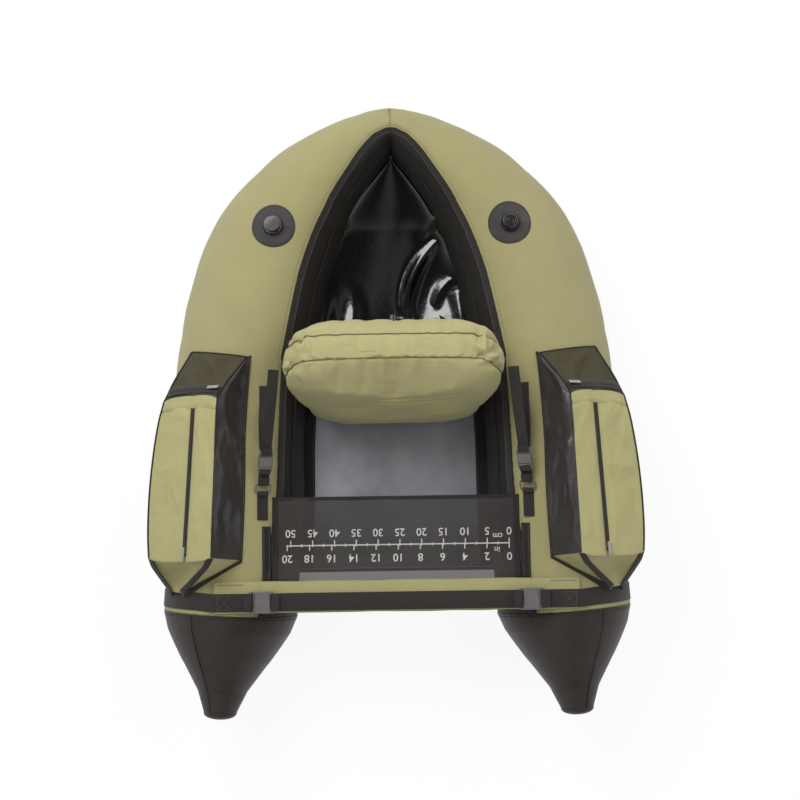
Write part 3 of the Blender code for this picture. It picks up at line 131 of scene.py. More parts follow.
# The backrest's hinge and cushion.
HINGE = Vector((0, -0.05782, 0.13495))
HINGE_TO_MIDDLE = 0.0608
LEAN = math.radians(-18.0)
CUSHION_HALF_WIDTH = 0.2445
CUSHION_FOOT_HALF_WIDTH = 0.190
CUSHION_HEIGHT = 0.352
CUSHION_THICKNESS = 0.152
GUSSET_WIDTH = 0.056

# The pockets.
POCKET_REAR = RING_Y + 0.590
POCKET_CREST = RING_Y + 0.493
POCKET_FRONT = RING_Y + 0.124
POCKET_TIP = RING_Y + 0.046
POCKET_RISE = 0.090
POCKET_OUTER_RISE = 0.012
POCKET_SIDE_RISE = -0.065
POCKET_INSET = 0.021
# How far the pocket stands past the tube at its crest, its front and its side, and more between.
POCKET_BULGES = (-0.004, 0.015, 0.004)
POCKET_SWELL = 0.012
POCKET_FOOT_ANGLES = (1.0, 103.0)
POCKET_REAR_ANGLE = 45.0
POCKET_TIP_ANGLES = (40.0, 54.0)
POCKET_LIP = 0.004
ZIP_SHARE = 0.42
ZIP_ENDS = (POCKET_CREST - 0.028, POCKET_FRONT + 0.012)
NET_ZIP_PLACE = -0.138
# The zips' teeth are drawn at about twice their real pitch, to show.
ZIP_PITCH = 0.0032


# Points and surfaces

def bend(low, high, value):
    """0 below low and 1 above high, with a soft start and end."""
    share = np.clip((np.asarray(value, float) - low) / (high - low), 0, 1)
    return share * share * (3 - 2 * share)


def ripple(points, size, seed=0):
    """Smooth noise from -1 to 1 whose humps are about size across."""
    spot = np.asarray(points, float) / size + seed * 17.31
    cell = np.floor(spot).astype(np.int64)
    part = spot - cell
    part = part * part * (3 - 2 * part)
    total = np.zeros(spot.shape[:-1])
    for corner in product((0, 1), repeat=3):
        at = cell + np.array(corner)
        code = (at[..., 0] * 73856093) ^ (at[..., 1] * 19349663) ^ (at[..., 2] * 83492791)
        code = ((code ^ (code >> 13)) * 1274126177) & 0xFFFFFF
        weight = np.prod(np.where(corner, part, 1 - part), axis=-1)
        total += weight * ((code % 20011) / 10005.0 - 1)
    return total


def crumple(points, size, seed=0):
    """Creased noise from 0 to 1: sharp ridges between smooth facets, as in stiff coated cloth."""
    warp = np.stack([ripple(points, size * 1.7, seed + k) for k in (5, 6, 7)], -1)
    return 1 - np.abs(ripple(points + warp * size * 0.45, size, seed))


def catmull(table, place):
    table = np.asarray(table, float)
    i = np.clip(np.floor(place).astype(int), 1, len(table) - 3)
    t = (place - i)[..., None]
    a, b, c, d = table[i - 1], table[i], table[i + 1], table[i + 2]
    return 0.5 * (2 * b + (c - a) * t + (2 * a - 5 * b + 4 * c - d) * t**2 + (3 * b - a - 3 * c + d) * t**3)


TABLE = np.array(STATION_SHARES, float)
STERN_ROWS = TABLE[2:0:-1] * np.array([-1, 1, 1, 1, 1, 1])
TABLE = np.vstack([STERN_ROWS, TABLE, 2 * TABLE[-1] - TABLE[-2]])


def centre_line(u):
    row = catmull(TABLE, u + len(STERN_ROWS))
    return np.stack([row[..., 0] * RING_HALF_SPAN, LENGTH / 2 - row[..., 1] * BODY_LENGTH], -1), row


def unit(vectors):
    return vectors / np.linalg.norm(vectors, axis=-1, keepdims=True)


def stations(u):
    """Centre, direction out, radii across and upright and inner seam's angle of the tube, at stations u."""
    u = np.clip(np.asarray(u, float), 0, RING_STATION)
    plan, row = centre_line(u)
    step = centre_line(u + 0.01)[0] - centre_line(u - 0.01)[0]
    outward = unit(np.stack([-step[..., 1], step[..., 0], np.zeros_like(u)], -1))
    wide, tall = row[..., 2] * TUBE_RADIUS, row[..., 3] * TUBE_RADIUS
    height = row[..., 4] * STERN_RISE + tall * math.cos(math.radians(FLAT_HALF_ANGLE))
    return np.concatenate([plan, height[..., None]], -1), outward, wide, tall, row[..., 5]


def tube(u, angle, out=0.0):
    """Points of the tube's skin, at angles up from straight out, moved off the skin by out."""
    u, angle, out = np.broadcast_arrays(*(np.asarray(values, float) for values in (u, angle, out)))
    centre, outward, wide, tall, _ = stations(u)
    turn = np.radians(angle)
    points = centre + outward * ((wide + out) * np.cos(turn))[..., None]
    points[..., 2] += (tall + out) * np.sin(turn)
    points[..., 0] = np.maximum(points[..., 0], MIDDLE_GAP)
    points[..., 2] = np.maximum(points[..., 2], 0)
    return points


def lengths(path):
    """How far along a path each of its points lies."""
    return np.concatenate([[0], np.cumsum(np.linalg.norm(np.diff(path, axis=0), axis=1))])


FINE = np.linspace(0, RING_STATION, 1201)
FINE_TRAVEL = lengths(centre_line(FINE)[0])


def even_stations(count, first=0.0, last=float(RING_STATION)):
    """Stations at even distances along the tube."""
    ends = np.interp([first, last], FINE, FINE_TRAVEL)
    return np.interp(np.linspace(*ends, count), FINE_TRAVEL, FINE)


def travel(u):
    return np.interp(u, FINE, FINE_TRAVEL)


@functools.cache
def station_at(y, angle=90.0):
    """The station whose skin point at this angle lies at a place along the boat."""
    return float(np.interp(-y, -tube(FINE, angle)[:, 1], FINE))


def tube_top(x, y):
    """Height of the tube's upper skin over places in plan."""
    x, y = np.broadcast_arrays(np.abs(np.asarray(x, float)), np.asarray(y, float))
    low, high = np.zeros(x.shape), np.full(x.shape, float(RING_STATION))
    for _ in range(24):
        middle = (low + high) / 2
        centre, outward, *_ = stations(middle)
        ahead = (x - centre[..., 0]) * outward[..., 1] - (y - centre[..., 1]) * outward[..., 0] > 0
        low, high = np.where(ahead, middle, low), np.where(ahead, high, middle)
    centre, outward, wide, tall, _ = stations((low + high) / 2)
    share = ((x - centre[..., 0]) * outward[..., 0] + (y - centre[..., 1]) * outward[..., 1]) / wide
    return centre[..., 2] + tall * np.sqrt(np.clip(1 - share**2, 0, 1))


def spread(points):
    """Distances along and across a grid of points, for a pattern that follows the cloth."""
    along = np.zeros(points.shape[:2])
    across = np.zeros(points.shape[:2])
    along[1:] = np.cumsum(np.linalg.norm(np.diff(points, axis=0), axis=2), axis=0)
    across[:, 1:] = np.cumsum(np.linalg.norm(np.diff(points, axis=1), axis=2), axis=1)
    return np.stack([along, across], -1)


def surface(name, points, mirror=1, closed=False, uv=None):
    """A smooth mesh through a grid of points, laid out in metres in its UV map."""
    points = np.array(points, float)
    uv = spread(points) if uv is None else uv
    points[..., 0] *= mirror
    rows, columns = points.shape[:2]
    index = np.arange(rows * columns).reshape(rows, columns)
    near = index if closed else index[:, :-1]
    far = np.roll(index, -1, axis=1) if closed else index[:, 1:]
    faces = np.stack([near[:-1], far[:-1], far[1:], near[1:]], -1).reshape(-1, 4)
    if mirror < 0:
        faces = faces[:, ::-1]
    mesh = bpy.data.meshes.new(name)
    mesh.from_pydata(points.reshape(-1, 3).tolist(), [], faces.tolist())
    layer = mesh.uv_layers.new(name="laid_out")
    layer.data.foreach_set("uv", uv.reshape(-1, 2)[faces.ravel()].ravel())
    mesh.shade_smooth()
    return mesh


def new_object(name, mesh):
    made = bpy.data.objects.new(name, mesh)
    bpy.context.scene.collection.objects.link(made)
    return made


def piece(name, mesh, finish, slot, body="hull", stands_for=(), wall=0.0, side=-1):
    """A finished piece of the object: its mesh, finish, body and the solids that it stands for."""
    made = new_object(name, mesh)
    mesh.materials.clear()
    mesh.materials.append(finish)
    if wall:
        thick = made.modifiers.new("cloth", "SOLIDIFY")
        thick.thickness = wall
        thick.offset = side
    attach(made, body)
    if stands_for:
        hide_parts(*stands_for)
    return made


def plain(obj):
    """The evaluated object as a mesh of its own. The object goes."""
    bpy.context.view_layer.update()
    shown = obj.evaluated_get(bpy.context.evaluated_depsgraph_get())
    mesh = bpy.data.meshes.new_from_object(shown)
    mesh.transform(obj.matrix_world)
    bpy.data.objects.remove(obj)
    return mesh


def places_of(mesh, what="co"):
    return np.array([getattr(vert, what) for vert in mesh.vertices])


def set_places(mesh, places):
    mesh.vertices.foreach_set("co", places.astype(np.float32).ravel())
    mesh.update()


def weld(mesh, gap):
    """Joins points that lie closer together than a gap."""
    work = bmesh.new()
    work.from_mesh(mesh)
    bmesh.ops.remove_doubles(work, verts=work.verts, dist=gap)
    work.to_mesh(mesh)
    work.free()
    mesh.shade_smooth()
    return mesh


def cord_mesh(name, path, radius, sides=8, closed=False):
    """A round cord or piping through points."""
    curve = bpy.data.curves.new(name, "CURVE")
    curve.dimensions = "3D"
    curve.bevel_depth = radius
    curve.bevel_resolution = max(sides // 4 - 1, 0)
    curve.use_fill_caps = not closed
    line = curve.splines.new("POLY")
    line.points.add(len(path) - 1)
    for point, place in zip(line.points, path):
        point.co = (*place, 1)
    line.use_cyclic_u = closed
    return weld(plain(new_object(name, curve)), 0.00001)


def add(tree, kind, inputs=None, **settings):
    """One node with its settings, and its inputs linked or set."""
    made = tree.nodes.new(kind if "Node" in kind else "ShaderNode" + kind)
    for key, value in settings.items():
        setattr(made, key, value)
    for key, value in (inputs or {}).items():
        if isinstance(value, bpy.types.NodeSocket):
            tree.links.new(value, made.inputs[key])
        else:
            made.inputs[key].default_value = value
    return made


# Repeats on a line: stitches, zip teeth, ruler ticks and grip ribs

def repeat_tree():
    """Puts an item on each point, its Z on the point's out and its X on the point's along."""
    tree = bpy.data.node_groups.new("items_on_a_line", "GeometryNodeTree")
    kinds = {"Geometry": "Geometry", "Item": "Object", "Item size": "Float", "Finish": "Material"}
    for name, kind in kinds.items():
        tree.interface.new_socket(name, in_out="INPUT", socket_type="NodeSocket" + kind)
    tree.interface.new_socket("Geometry", in_out="OUTPUT", socket_type="NodeSocketGeometry")
    given = add(tree, "NodeGroupInput").outputs
    item = add(tree, "GeometryNodeObjectInfo", {"Object": given["Item"]}).outputs["Geometry"]
    named = "GeometryNodeInputNamedAttribute"
    out, along = (
        add(tree, named, {"Name": name}, data_type="FLOAT_VECTOR").outputs["Attribute"]
        for name in ("out", "along")
    )
    turn = "FunctionNodeAlignRotationToVector"
    stand = add(tree, turn, {"Vector": out}, axis="Z").outputs[0]
    swing = add(tree, turn, {"Rotation": stand, "Vector": along}, axis="X", pivot_axis="Z").outputs[0]
    spots = {"Points": given["Geometry"], "Instance": item, "Rotation": swing, "Scale": given["Item size"]}
    placed = add(tree, "GeometryNodeInstanceOnPoints", spots).outputs[0]
    real = add(tree, "GeometryNodeRealizeInstances", {"Geometry": placed}).outputs[0]
    painted = add(tree, "GeometryNodeSetMaterial", {"Geometry": real, "Material": given["Finish"]}).outputs[0]
    add(tree, "NodeGroupOutput", {"Geometry": painted})
    return tree


REPEAT = repeat_tree()


def on_line(path, out, spacing, margin=0.0):
    """Evenly spaced points of a path, with the directions along it and out of it."""
    path, out = np.asarray(path, float), np.broadcast_to(np.asarray(out, float), np.shape(path))
    run = lengths(path)
    marks = np.arange(margin, run[-1] - margin + spacing / 100, spacing)

    def at(marks, values):
        return np.stack([np.interp(marks, run, values[:, k]) for k in range(3)], -1)

    return at(marks, path), at(marks + spacing / 3, path) - at(marks - spacing / 3, path), at(marks, out)


def repeat(name, line, item_mesh, finish, slot, body="hull", mirror=1):
    """A piece made of an item at each point of a line from on_line."""
    points, along, out = (np.array(values) * (mirror, 1, 1) for values in line)
    mesh = bpy.data.meshes.new(name)
    mesh.from_pydata(points.tolist(), [], [])
    for key, values in (("along", along), ("out", out)):
        mesh.attributes.new(key, "FLOAT_VECTOR", "POINT").data.foreach_set("vector", values.ravel())
    base, item = new_object(name, mesh), new_object("one_item", item_mesh)
    made = base.modifiers.new("items", "NODES")
    made.node_group = REPEAT
    values = {"Item": item, "Item size": 1.0, "Finish": finish}
    for socket in REPEAT.interface.items_tree:
        if socket.name in values:
            made[socket.identifier] = values[socket.name]
    result = plain(base)
    bpy.data.objects.remove(item)
    result.shade_smooth()
    result.set_sharp_from_angle(angle=math.radians(35))
    return piece(name, result, finish, slot, body)


def bar_item(length, width, height, taper=0.6):
    """A low bar along X with a narrower top, that sits on Z 0."""
    work = bmesh.new()
    bmesh.ops.create_cube(work, size=1)
    for vert in work.verts:
        top = vert.co.z > 0
        vert.co.x *= length * (taper if top else 1)
        vert.co.y *= width * (taper if top else 1)
        vert.co.z = height if top else -height / 2
    mesh = bpy.data.meshes.new("bar_item")
    work.to_mesh(mesh)
    work.free()
    return mesh


def stitches(name, path, out, finish, slot, body="hull", mirror=1, pitch=0.0065, thread=0.0011):
    """A row of sewing thread. Real stitches are about 3 mm long. These are longer and thicker, to show."""
    item = bar_item(pitch * 0.72, thread, thread * 0.55)
    return repeat(name, on_line(path, out, pitch, pitch / 2), item, finish, slot, body, mirror)


# Finishes

def linear(code, lighter=1.0):
    """An sRGB hex colour as linear values."""
    shares = [int(code[i : i + 2], 16) / 255 for i in (0, 2, 4)]
    light = [s / 12.92 if s <= 0.04045 else ((s + 0.055) / 1.055) ** 2.4 for s in shares]
    return (*(min(value * lighter, 1) for value in light), 1)


def start_finish(name, roughness, **sockets):
    """A principled material with the values that are alike all over it."""
    made = bpy.data.materials.new(name)
    made.use_nodes = True
    shader = made.node_tree.nodes["Principled BSDF"]
    for key, value in {"Roughness": roughness, **sockets}.items():
        shader.inputs[key.replace("_", " ")].default_value = value
    return made, made.node_tree, shader


def mottle(tree, place, size, low, high):
    """Colour that drifts between two values over patches of a size."""
    cloud = add(tree, "TexNoise", {"Vector": place, "Scale": 1 / size, "Detail": 3.0, "Roughness": 0.6})
    ramp = add(tree, "ValToRGB", {"Fac": cloud.outputs["Fac"]})
    for element, position, colour in zip(ramp.color_ramp.elements, (0.3, 0.7), (low, high)):
        element.position, element.color = position, colour
    return ramp.outputs["Color"]


def weave_height(tree, place, thread):
    """Plain weave: warp and weft threads that pass over each other in turn."""
    bands = {"Vector": place, "Scale": math.pi / (10 * thread)}
    warp, weft = (add(tree, "TexWave", bands, bands_direction=way).outputs["Fac"] for way in "XY")
    over = add(tree, "TexChecker", {"Vector": place, "Scale": 1 / (2 * thread)}).outputs["Fac"]
    return add(tree, "Mix", {"Factor": over, "A": warp, "B": weft}).outputs["Result"]


def bumped(tree, shader, *layers):
    """Bumps of (height, distance in metres), the coarsest first."""
    normal = None
    for height, depth in layers:
        inputs = {"Height": height, "Distance": depth, "Strength": 1.0}
        if normal:
            inputs["Normal"] = normal
        normal = add(tree, "Bump", inputs).outputs["Normal"]
    tree.links.new(normal, shader.inputs["Normal"])


def cloth_finish(name, colour, roughness, thread, contrast, crease=0.0, crease_size=0.03, **sockets):
    """Woven cloth: threads with painted shade in their hollows, a faint drift in its dye and, if asked, small
    soft creases.
    """
    made, tree, shader = start_finish(name, roughness, **sockets)
    spots = add(tree, "TexCoord").outputs
    dye = mottle(tree, spots["Object"], 0.09, linear(colour, 1 - contrast), linear(colour, 1 + contrast))
    woven = weave_height(tree, spots["UV"], thread)
    # Painted shade: the weave's hollows are darkened towards 72 % of the cloth's colour.
    hollow_shade = add(tree, "MapRange", {"Value": woven, "To Min": 0.28, "To Max": 0.0}).outputs["Result"]
    tone = add(tree, "Mix", {"A": dye, "B": linear(colour, 0.72), "Factor": hollow_shade}, data_type="RGBA")
    tree.links.new(tone.outputs["Result"], shader.inputs["Base Color"])
    layers = [(woven, thread * 0.25)]
    if crease:
        inputs = {"Vector": spots["Object"], "Scale": 1 / crease_size, "Detail": 4.0, "Distortion": 0.6}
        layers.insert(0, (add(tree, "TexNoise", inputs).outputs["Fac"], crease))
    bumped(tree, shader, *layers)
    return made


# Coated polyester: matt and even, with a plain weave. Its 0.5 mm threads are drawn 1.6 mm wide to show.
tube_polyester = cloth_finish(
    "coated_polyester", "b3ac78", 0.62, 0.0016, 0.035, 0.0016, 0.045, Sheen_Weight=0.12
)
# The cushion's polyester is the tube's khaki painted lighter, as painted light for its brightly lit top. It
# creases more.
lit_cushion_polyester = cloth_finish(
    "lit_cushion_khaki", "c2bb83", 0.72, 0.0016, 0.04, 0.0022, 0.022, Sheen_Weight=0.2
)
# The same cloth painted darker for the cushion's piping: painted shade for the fold shadow along its seams.
seam_shade_polyester = cloth_finish("painted_seam_shade", "7d7852", 0.75, 0.0016, 0.04)
# The pockets' polyester is the tube's khaki painted lighter: painted light for their brightly lit,
# upward-facing tops.
lit_pocket_polyester = cloth_finish(
    "lit_pocket_polyester", "c2bb82", 0.66, 0.0016, 0.05, 0.0030, 0.030, Sheen_Weight=0.15
)
# Black polyester, coated on its back: dull, with the same weave.
black_polyester = cloth_finish("black_polyester", "26221f", 0.55, 0.0016, 0.10, 0.0012, 0.04)
# Heavy laminated cloth on the cones: a brown black with a soft shine.
cone_laminate = cloth_finish("cone_laminate", "281d18", 0.44, 0.0020, 0.07, 0.0010, 0.06)
# Polypropylene webbing: ribbed and slightly furry, drawn with 2 mm ribs.
webbing_weave = cloth_finish(
    "polypropylene_webbing", "2c2724", 0.70, 0.0020, 0.10, 0.0, 0.03, Sheen_Weight=0.12
)
# Fine polyester mesh: its holes are too small to see one by one, so the whole sheet lets some light through.
apron_net = cloth_finish("polyester_mesh", "4b4745", 0.80, 0.0024, 0.16, 0.0010, 0.03, Alpha=0.62)
pocket_net = cloth_finish("pocket_mesh", "4e4833", 0.78, 0.0024, 0.14, 0.0020, 0.03)
patch_cloth = cloth_finish("welded_patch", "4f4a4a", 0.55, 0.0020, 0.06, 0.0006, 0.02)


def smooth_finish(name, colour, roughness, drift, shine, bumps, **sockets):
    """A surface with no weave.

    drift is the size of the patches in its tone and their two shades. shine is the size and detail of the
    patches in its roughness and their two shares of it. Each bump is a size, detail, distortion and depth."""
    made, tree, shader = start_finish(name, roughness, **sockets)
    still = add(tree, "TexCoord").outputs["Object"]
    size, low, high = drift
    tone = mottle(tree, still, size, linear(colour, low), linear(colour, high))
    tree.links.new(tone, shader.inputs["Base Color"])
    size, detail, low, high = shine
    rubbed = add(tree, "TexNoise", {"Vector": still, "Scale": 1 / size, "Detail": detail}).outputs["Fac"]
    uneven = add(tree, "MapRange", {"Value": rubbed, "To Min": roughness * low, "To Max": roughness * high})
    tree.links.new(uneven.outputs["Result"], shader.inputs["Roughness"])
    layers = []
    for size, detail, warp, depth in bumps:
        inputs = {"Vector": still, "Scale": 1 / size, "Detail": detail, "Distortion": warp}
        layers.append((add(tree, "TexNoise", inputs).outputs["Fac"], depth))
    bumped(tree, shader, *layers)
    return made


def tarpaulin_finish(name, colour, roughness, crease, **sockets):
    """PVC-coated cloth: a glossy skin with smooth creases, and a shine that varies where it was folded."""
    drift, shine = (0.12, 0.8, 1.25), (0.05, 5.0, 0.75, 1.5)
    bumps = (0.035, 2.0, 1.2, crease), (0.009, 3.0, 0.0, crease / 9)
    return smooth_finish(name, colour, roughness, drift, shine, bumps, **sockets)


# PVC tarpaulin: wet-looking on the deck. On the seat the black tarpaulin is coloured light grey, a painted
# sheen on its satin face, and on the pockets' sides dark grey, a painted sheen too.
deck_tarpaulin = tarpaulin_finish(
    "glossy_tarpaulin", "080707", 0.14, 0.0008, Coat_Weight=1.0, Coat_Roughness=0.07
)
# Painted sheen: the seat's black tarpaulin is given a light grey colour.
seat_tarpaulin = tarpaulin_finish("sheen_painted_tarpaulin", "98979f", 0.36, 0.0014)
# Painted sheen: the pockets' black sides are given a dark grey colour.
pocket_sheen_tarpaulin = tarpaulin_finish("pocket_sheen_tarpaulin", "3a3637", 0.33, 0.0018)


def moulded_finish(name, colour, roughness, grain, **sockets):
    """Moulded plastic: one colour, a fine spark-eroded grain and a slightly uneven shine."""
    drift, shine, bumps = (0.02, 0.92, 1.08), (0.006, 3.0, 0.85, 1.2), ((grain, 2.0, 0.0, grain / 12),)
    return smooth_finish(name, colour, roughness, drift, shine, bumps, **sockets)


# Acetal buckles: black, satin, with a fine moulded grain. Their colour is a mid grey: a painted highlight for
# the shine on their tops.
buckle_highlight_acetal = moulded_finish("highlight_painted_acetal", "6e6a6b", 0.32, 0.0012)
# The screw valves are polished in the mould.
valve_plastic = moulded_finish(
    "polished_valve_plastic", "161515", 0.12, 0.003, Coat_Weight=1.0, Coat_Roughness=0.05
)
zip_coil = moulded_finish("nylon_zip_coil", "2f2b29", 0.42, 0.001)
bladder_film = moulded_finish("clear_bladder_film", "c9ccd0", 0.25, 0.004)
# Nickel-plated zinc on the zip sliders, and bare drawn aluminium on the hidden bar.
nickel_plate = moulded_finish("nickel_plated_zinc", "a9a7a2", 0.26, 0.0008, Metallic=1.0)
drawn_aluminium = moulded_finish("drawn_aluminium", "b4b6b8", 0.32, 0.0012, Metallic=1.0)
# Sewing thread, and the apron's screen print.
khaki_thread = moulded_finish("khaki_thread", "857f57", 0.7, 0.001)
pale_thread = moulded_finish("grey_thread", "6b6560", 0.7, 0.001)
black_thread = moulded_finish("black_thread", "2b2724", 0.7, 0.001)
screen_print = moulded_finish("white_screen_print", "c4c2be", 0.65, 0.002)


# Tube skins, seams, walls and cones

PUCKER_PITCH = 0.021
PUCKER_DEPTH = 0.0007
PUCKER_REACH = 0.014
# The tube's grid: stations along, and angles that the inner walls cover.
SKIN_ROWS = 230
WALL_ANGLES = (151, 213)
STERN_ROWS_FACED = 60
STRIP_WIDTH = 0.021
STRIP_LIFT = 0.0020
STRIP_THICKNESS = 0.0009
CONE_SEAM_SHARE = 0.030
CONE_SEAM_ANGLE = 62.0


def seam_pucker(u, reach, seed):
    """Small gathers that fade away from a sewn edge. reach is the distance from the edge."""
    run = travel(u)
    wave = np.sin(2 * np.pi * run / PUCKER_PITCH + 2.2 * np.sin(2 * np.pi * run / 0.13 + seed))
    return PUCKER_DEPTH * wave * np.exp(-reach / PUCKER_REACH)


def by_station(table, u):
    return np.interp(u, *np.array(table).T)


def outer_fullness(u, angle):
    return by_station(FULLNESS, u) * np.clip(np.cos(np.radians(angle)), 0, 1) ** 1.5


def make_skins():
    u = even_stations(SKIN_ROWS)[:, None]
    _, _, _, radius, inner = stations(u)
    inner = inner + 90
    for k, (tag, mirror) in enumerate(SIDES):
        angle = OUTER_SEAM_ANGLE + (inner - OUTER_SEAM_ANGLE) * np.linspace(0, 1, 61)[None, :]
        past_lap = np.radians(inner - angle) * radius - by_station(LAPS, u)
        to_outer = np.radians(angle - OUTER_SEAM_ANGLE) * radius
        flat = tube(u, angle)
        lapped = bend(0.0, 0.05, past_lap)
        gathers = np.sin(2 * np.pi * angle / 17 + 2 * np.sin(angle / 9 + k))
        out = seam_pucker(u, np.abs(past_lap), k) + seam_pucker(u, to_outer, k + 2)
        out = out + 0.0010 * ripple(flat, 0.16, 3 + k) * bend(0, 0.05, np.abs(past_lap))
        out = out + 0.0030 * np.exp(-travel(u) / 0.07) * ripple(flat * (1, 4, 2), 0.05, 9 + k) * lapped
        out = out + 0.0016 * np.exp(-travel(u) / 0.022) * gathers * lapped + outer_fullness(u, angle)
        mesh = surface("top_skin", tube(u, angle, out), mirror)
        stands_for = [f"top_cover_{tag}"]
        piece(f"tube_top_skin_{tag}", mesh, tube_polyester, "tube_cloth", "hull", stands_for, CLOTH)
        turn = np.concatenate([np.linspace(OUTER_SEAM_ANGLE, -81, 15), np.linspace(-83, -97, 5)])
        rest = -99 + (inner - 360 + 99) * np.linspace(0, 1, 40)[None, :]
        angle = np.concatenate([np.broadcast_to(turn, (len(u), len(turn))), rest], 1)[:, ::-1]
        to_inner = np.abs(np.radians(angle - (inner - 360)) * radius)
        out = seam_pucker(u, to_inner, k + 4) + outer_fullness(u, angle)
        mesh = surface("under_skin", tube(u, angle, out), mirror)
        stands_for = [f"under_cover_{tag}"]
        piece(f"tube_under_skin_{tag}", mesh, black_polyester, "black_cloth", "hull", stands_for, CLOTH)


def make_seam_strip():
    """The black facing at the stern, the strip along the inner seam and the stitching on and beside it."""
    u = even_stations(SKIN_ROWS)[:, None]
    radius = stations(u)[3]
    inner = 90 + stations(u)[4] - np.degrees(by_station(LAPS, u) / radius)
    stern = slice(0, STERN_ROWS_FACED)
    for k, (tag, mirror) in enumerate(SIDES):
        lap = by_station(LAPS, u[stern])
        reach = 0.0185 + (np.maximum(lap, 0.018) - 0.0135) * np.linspace(0, 1, 12)[None, :]
        angle = inner[stern] + np.degrees(reach / radius[stern])
        out = 0.0016 + 0.0012 * crumple(tube(u[stern], angle), 0.03, 12 + k)
        mesh = surface("stern_facing", tube(u[stern], angle, out), mirror)
        piece(f"stern_facing_{tag}", mesh, black_polyester, "black_cloth", wall=STRIP_THICKNESS)
        width = np.linspace(0.0006, STRIP_WIDTH, 9)[None, :]
        out = STRIP_LIFT + seam_pucker(u, width, k + 4) - 0.0009 * bend(0.018, STRIP_WIDTH, width)
        mesh = surface("seam_strip", tube(u, inner + np.degrees(width / radius), out), mirror)
        piece(f"seam_strip_{tag}", mesh, webbing_weave, "webbing", wall=STRIP_THICKNESS)
        for name, reach, lift, thread, slot in (
            ("strip_stitching", 0.0175, STRIP_LIFT, pale_thread, "webbing"),
            ("strip_edge_stitching", 0.0035, 0.0023, black_thread, "webbing"),
            ("skin_stitching", -0.0075, 0.0004, khaki_thread, "tube_cloth"),
        ):
            turn = (inner + np.degrees(reach / radius))[:, 0]
            path = tube(u[:, 0], turn, lift)
            outs = tube(u[:, 0], turn, lift + 0.01) - path
            stitches(f"{name}_{tag}", path, outs, thread, slot, mirror=mirror)


def make_walls():
    u = even_stations(220, 0.02, station_at(SEAT_FRONT, PANEL_EDGE_ANGLE))[:, None]
    angle = np.linspace(*WALL_ANGLES, 40)[None, :]
    for k, (tag, mirror) in enumerate(SIDES):
        flat = tube(u, angle, 0.0015)
        out = 0.0017 + 0.0016 * ripple(flat * (1, 0.5, 1), 0.05, 20 + k)
        out = out + 0.0010 * crumple(flat, 0.06, 22 + k)
        mesh = surface("inner_wall", tube(u, angle, out), mirror)
        stands_for = [f"inner_wall_{tag}"]
        piece(f"inner_lining_{tag}", mesh, black_polyester, "black_cloth", "hull", stands_for, 0.0010)


def cone_scale(share):
    """The cone's radius as a share of the tube's: nearly straight sides and a blunt, rounded tip."""
    side = np.interp(share, *np.array(CONE_SHARES).T)
    swell = 0.016 * np.sin(np.pi * np.clip(share / 0.5, 0, 1))
    past = np.clip(share - CONE_TIP_SHARE, 0, 1) / (1 - CONE_TIP_SHARE)
    return (side + swell) * np.sqrt(np.clip(1 - past**2.6, 0, 1))


def cone_place(share, angle, out=0.0):
    """Points on a cone. Its share runs from the ring at 0 to the tip at 1."""
    centre, outward, wide, _, _ = (value[0] for value in stations(np.array([RING_STATION])))
    along = np.array([outward[1], -outward[0], 0]) * CONE_LENGTH + (TIP_SPREAD, 0, TIP_RISE)
    radius = wide * cone_scale(share) + out
    turn = np.radians(angle)
    points = centre + along * share[..., None] + outward * (radius * np.cos(turn))[..., None]
    points[..., 2] = np.maximum(points[..., 2] + radius * np.sin(turn), 0)
    return points


def make_cones():
    tip = 1 - (1 - CONE_TIP_SHARE) * np.linspace(1, 0, 16)[1:] ** 2
    share = np.concatenate([np.linspace(0, CONE_TIP_SHARE, 60), tip])[:, None]
    angle = np.linspace(0, 360, 97)[:-1][None, :]
    seam_at = np.full(90, CONE_SEAM_SHARE)
    seam_angles = np.linspace(-30, 210, 90)
    panel_line = np.linspace(0.02, 0.93, 40)
    for k, (tag, mirror) in enumerate(SIDES):
        wave = 0.0012 * ripple(cone_place(share, angle), 0.12, 30 + k) * bend(0.0, 0.2, share)
        wave = wave + 0.0010 * np.exp(-share / 0.06) * np.sin(np.radians(angle * 34))
        points = cone_place(share, angle, (wave + 0.0008) * bend(1.0, 0.97, share))
        mesh = weld(surface("cone_skin", points, mirror, closed=True), 0.0001)
        piece(f"cone_skin_{tag}", mesh, cone_laminate, "cone_cloth", "hull", [f"cone_cover_{tag}"], CLOTH)
        path = cone_place(seam_at, seam_angles, 0.0012)
        outs = cone_place(seam_at, seam_angles, 0.0112) - path
        stitches(f"cone_stitching_{tag}", path, outs, black_thread, "cone_cloth", mirror=mirror)
        path = cone_place(panel_line, np.full(40, CONE_SEAM_ANGLE), 0.0010)
        mesh = cord_mesh("cone_seam", path * (mirror, 1, 1), 0.0009)
        piece(f"cone_panel_seam_{tag}", mesh, cone_laminate, "cone_cloth")


# Seat and deck


def floor_grid(u, across, drop):
    """A sheet between the inner walls. drop is how far it hangs, by its shares along and across."""
    edge = tube(u, PANEL_EDGE_ANGLE, PANEL_EDGE_OUT)[:, None]
    share = np.linspace(0, 1, len(u))[:, None]
    x = np.maximum(edge[..., 0], STERN_HALF_WIDTH) * across
    return np.stack(np.broadcast_arrays(x, edge[..., 1], edge[..., 2] - drop(share, across)), -1)


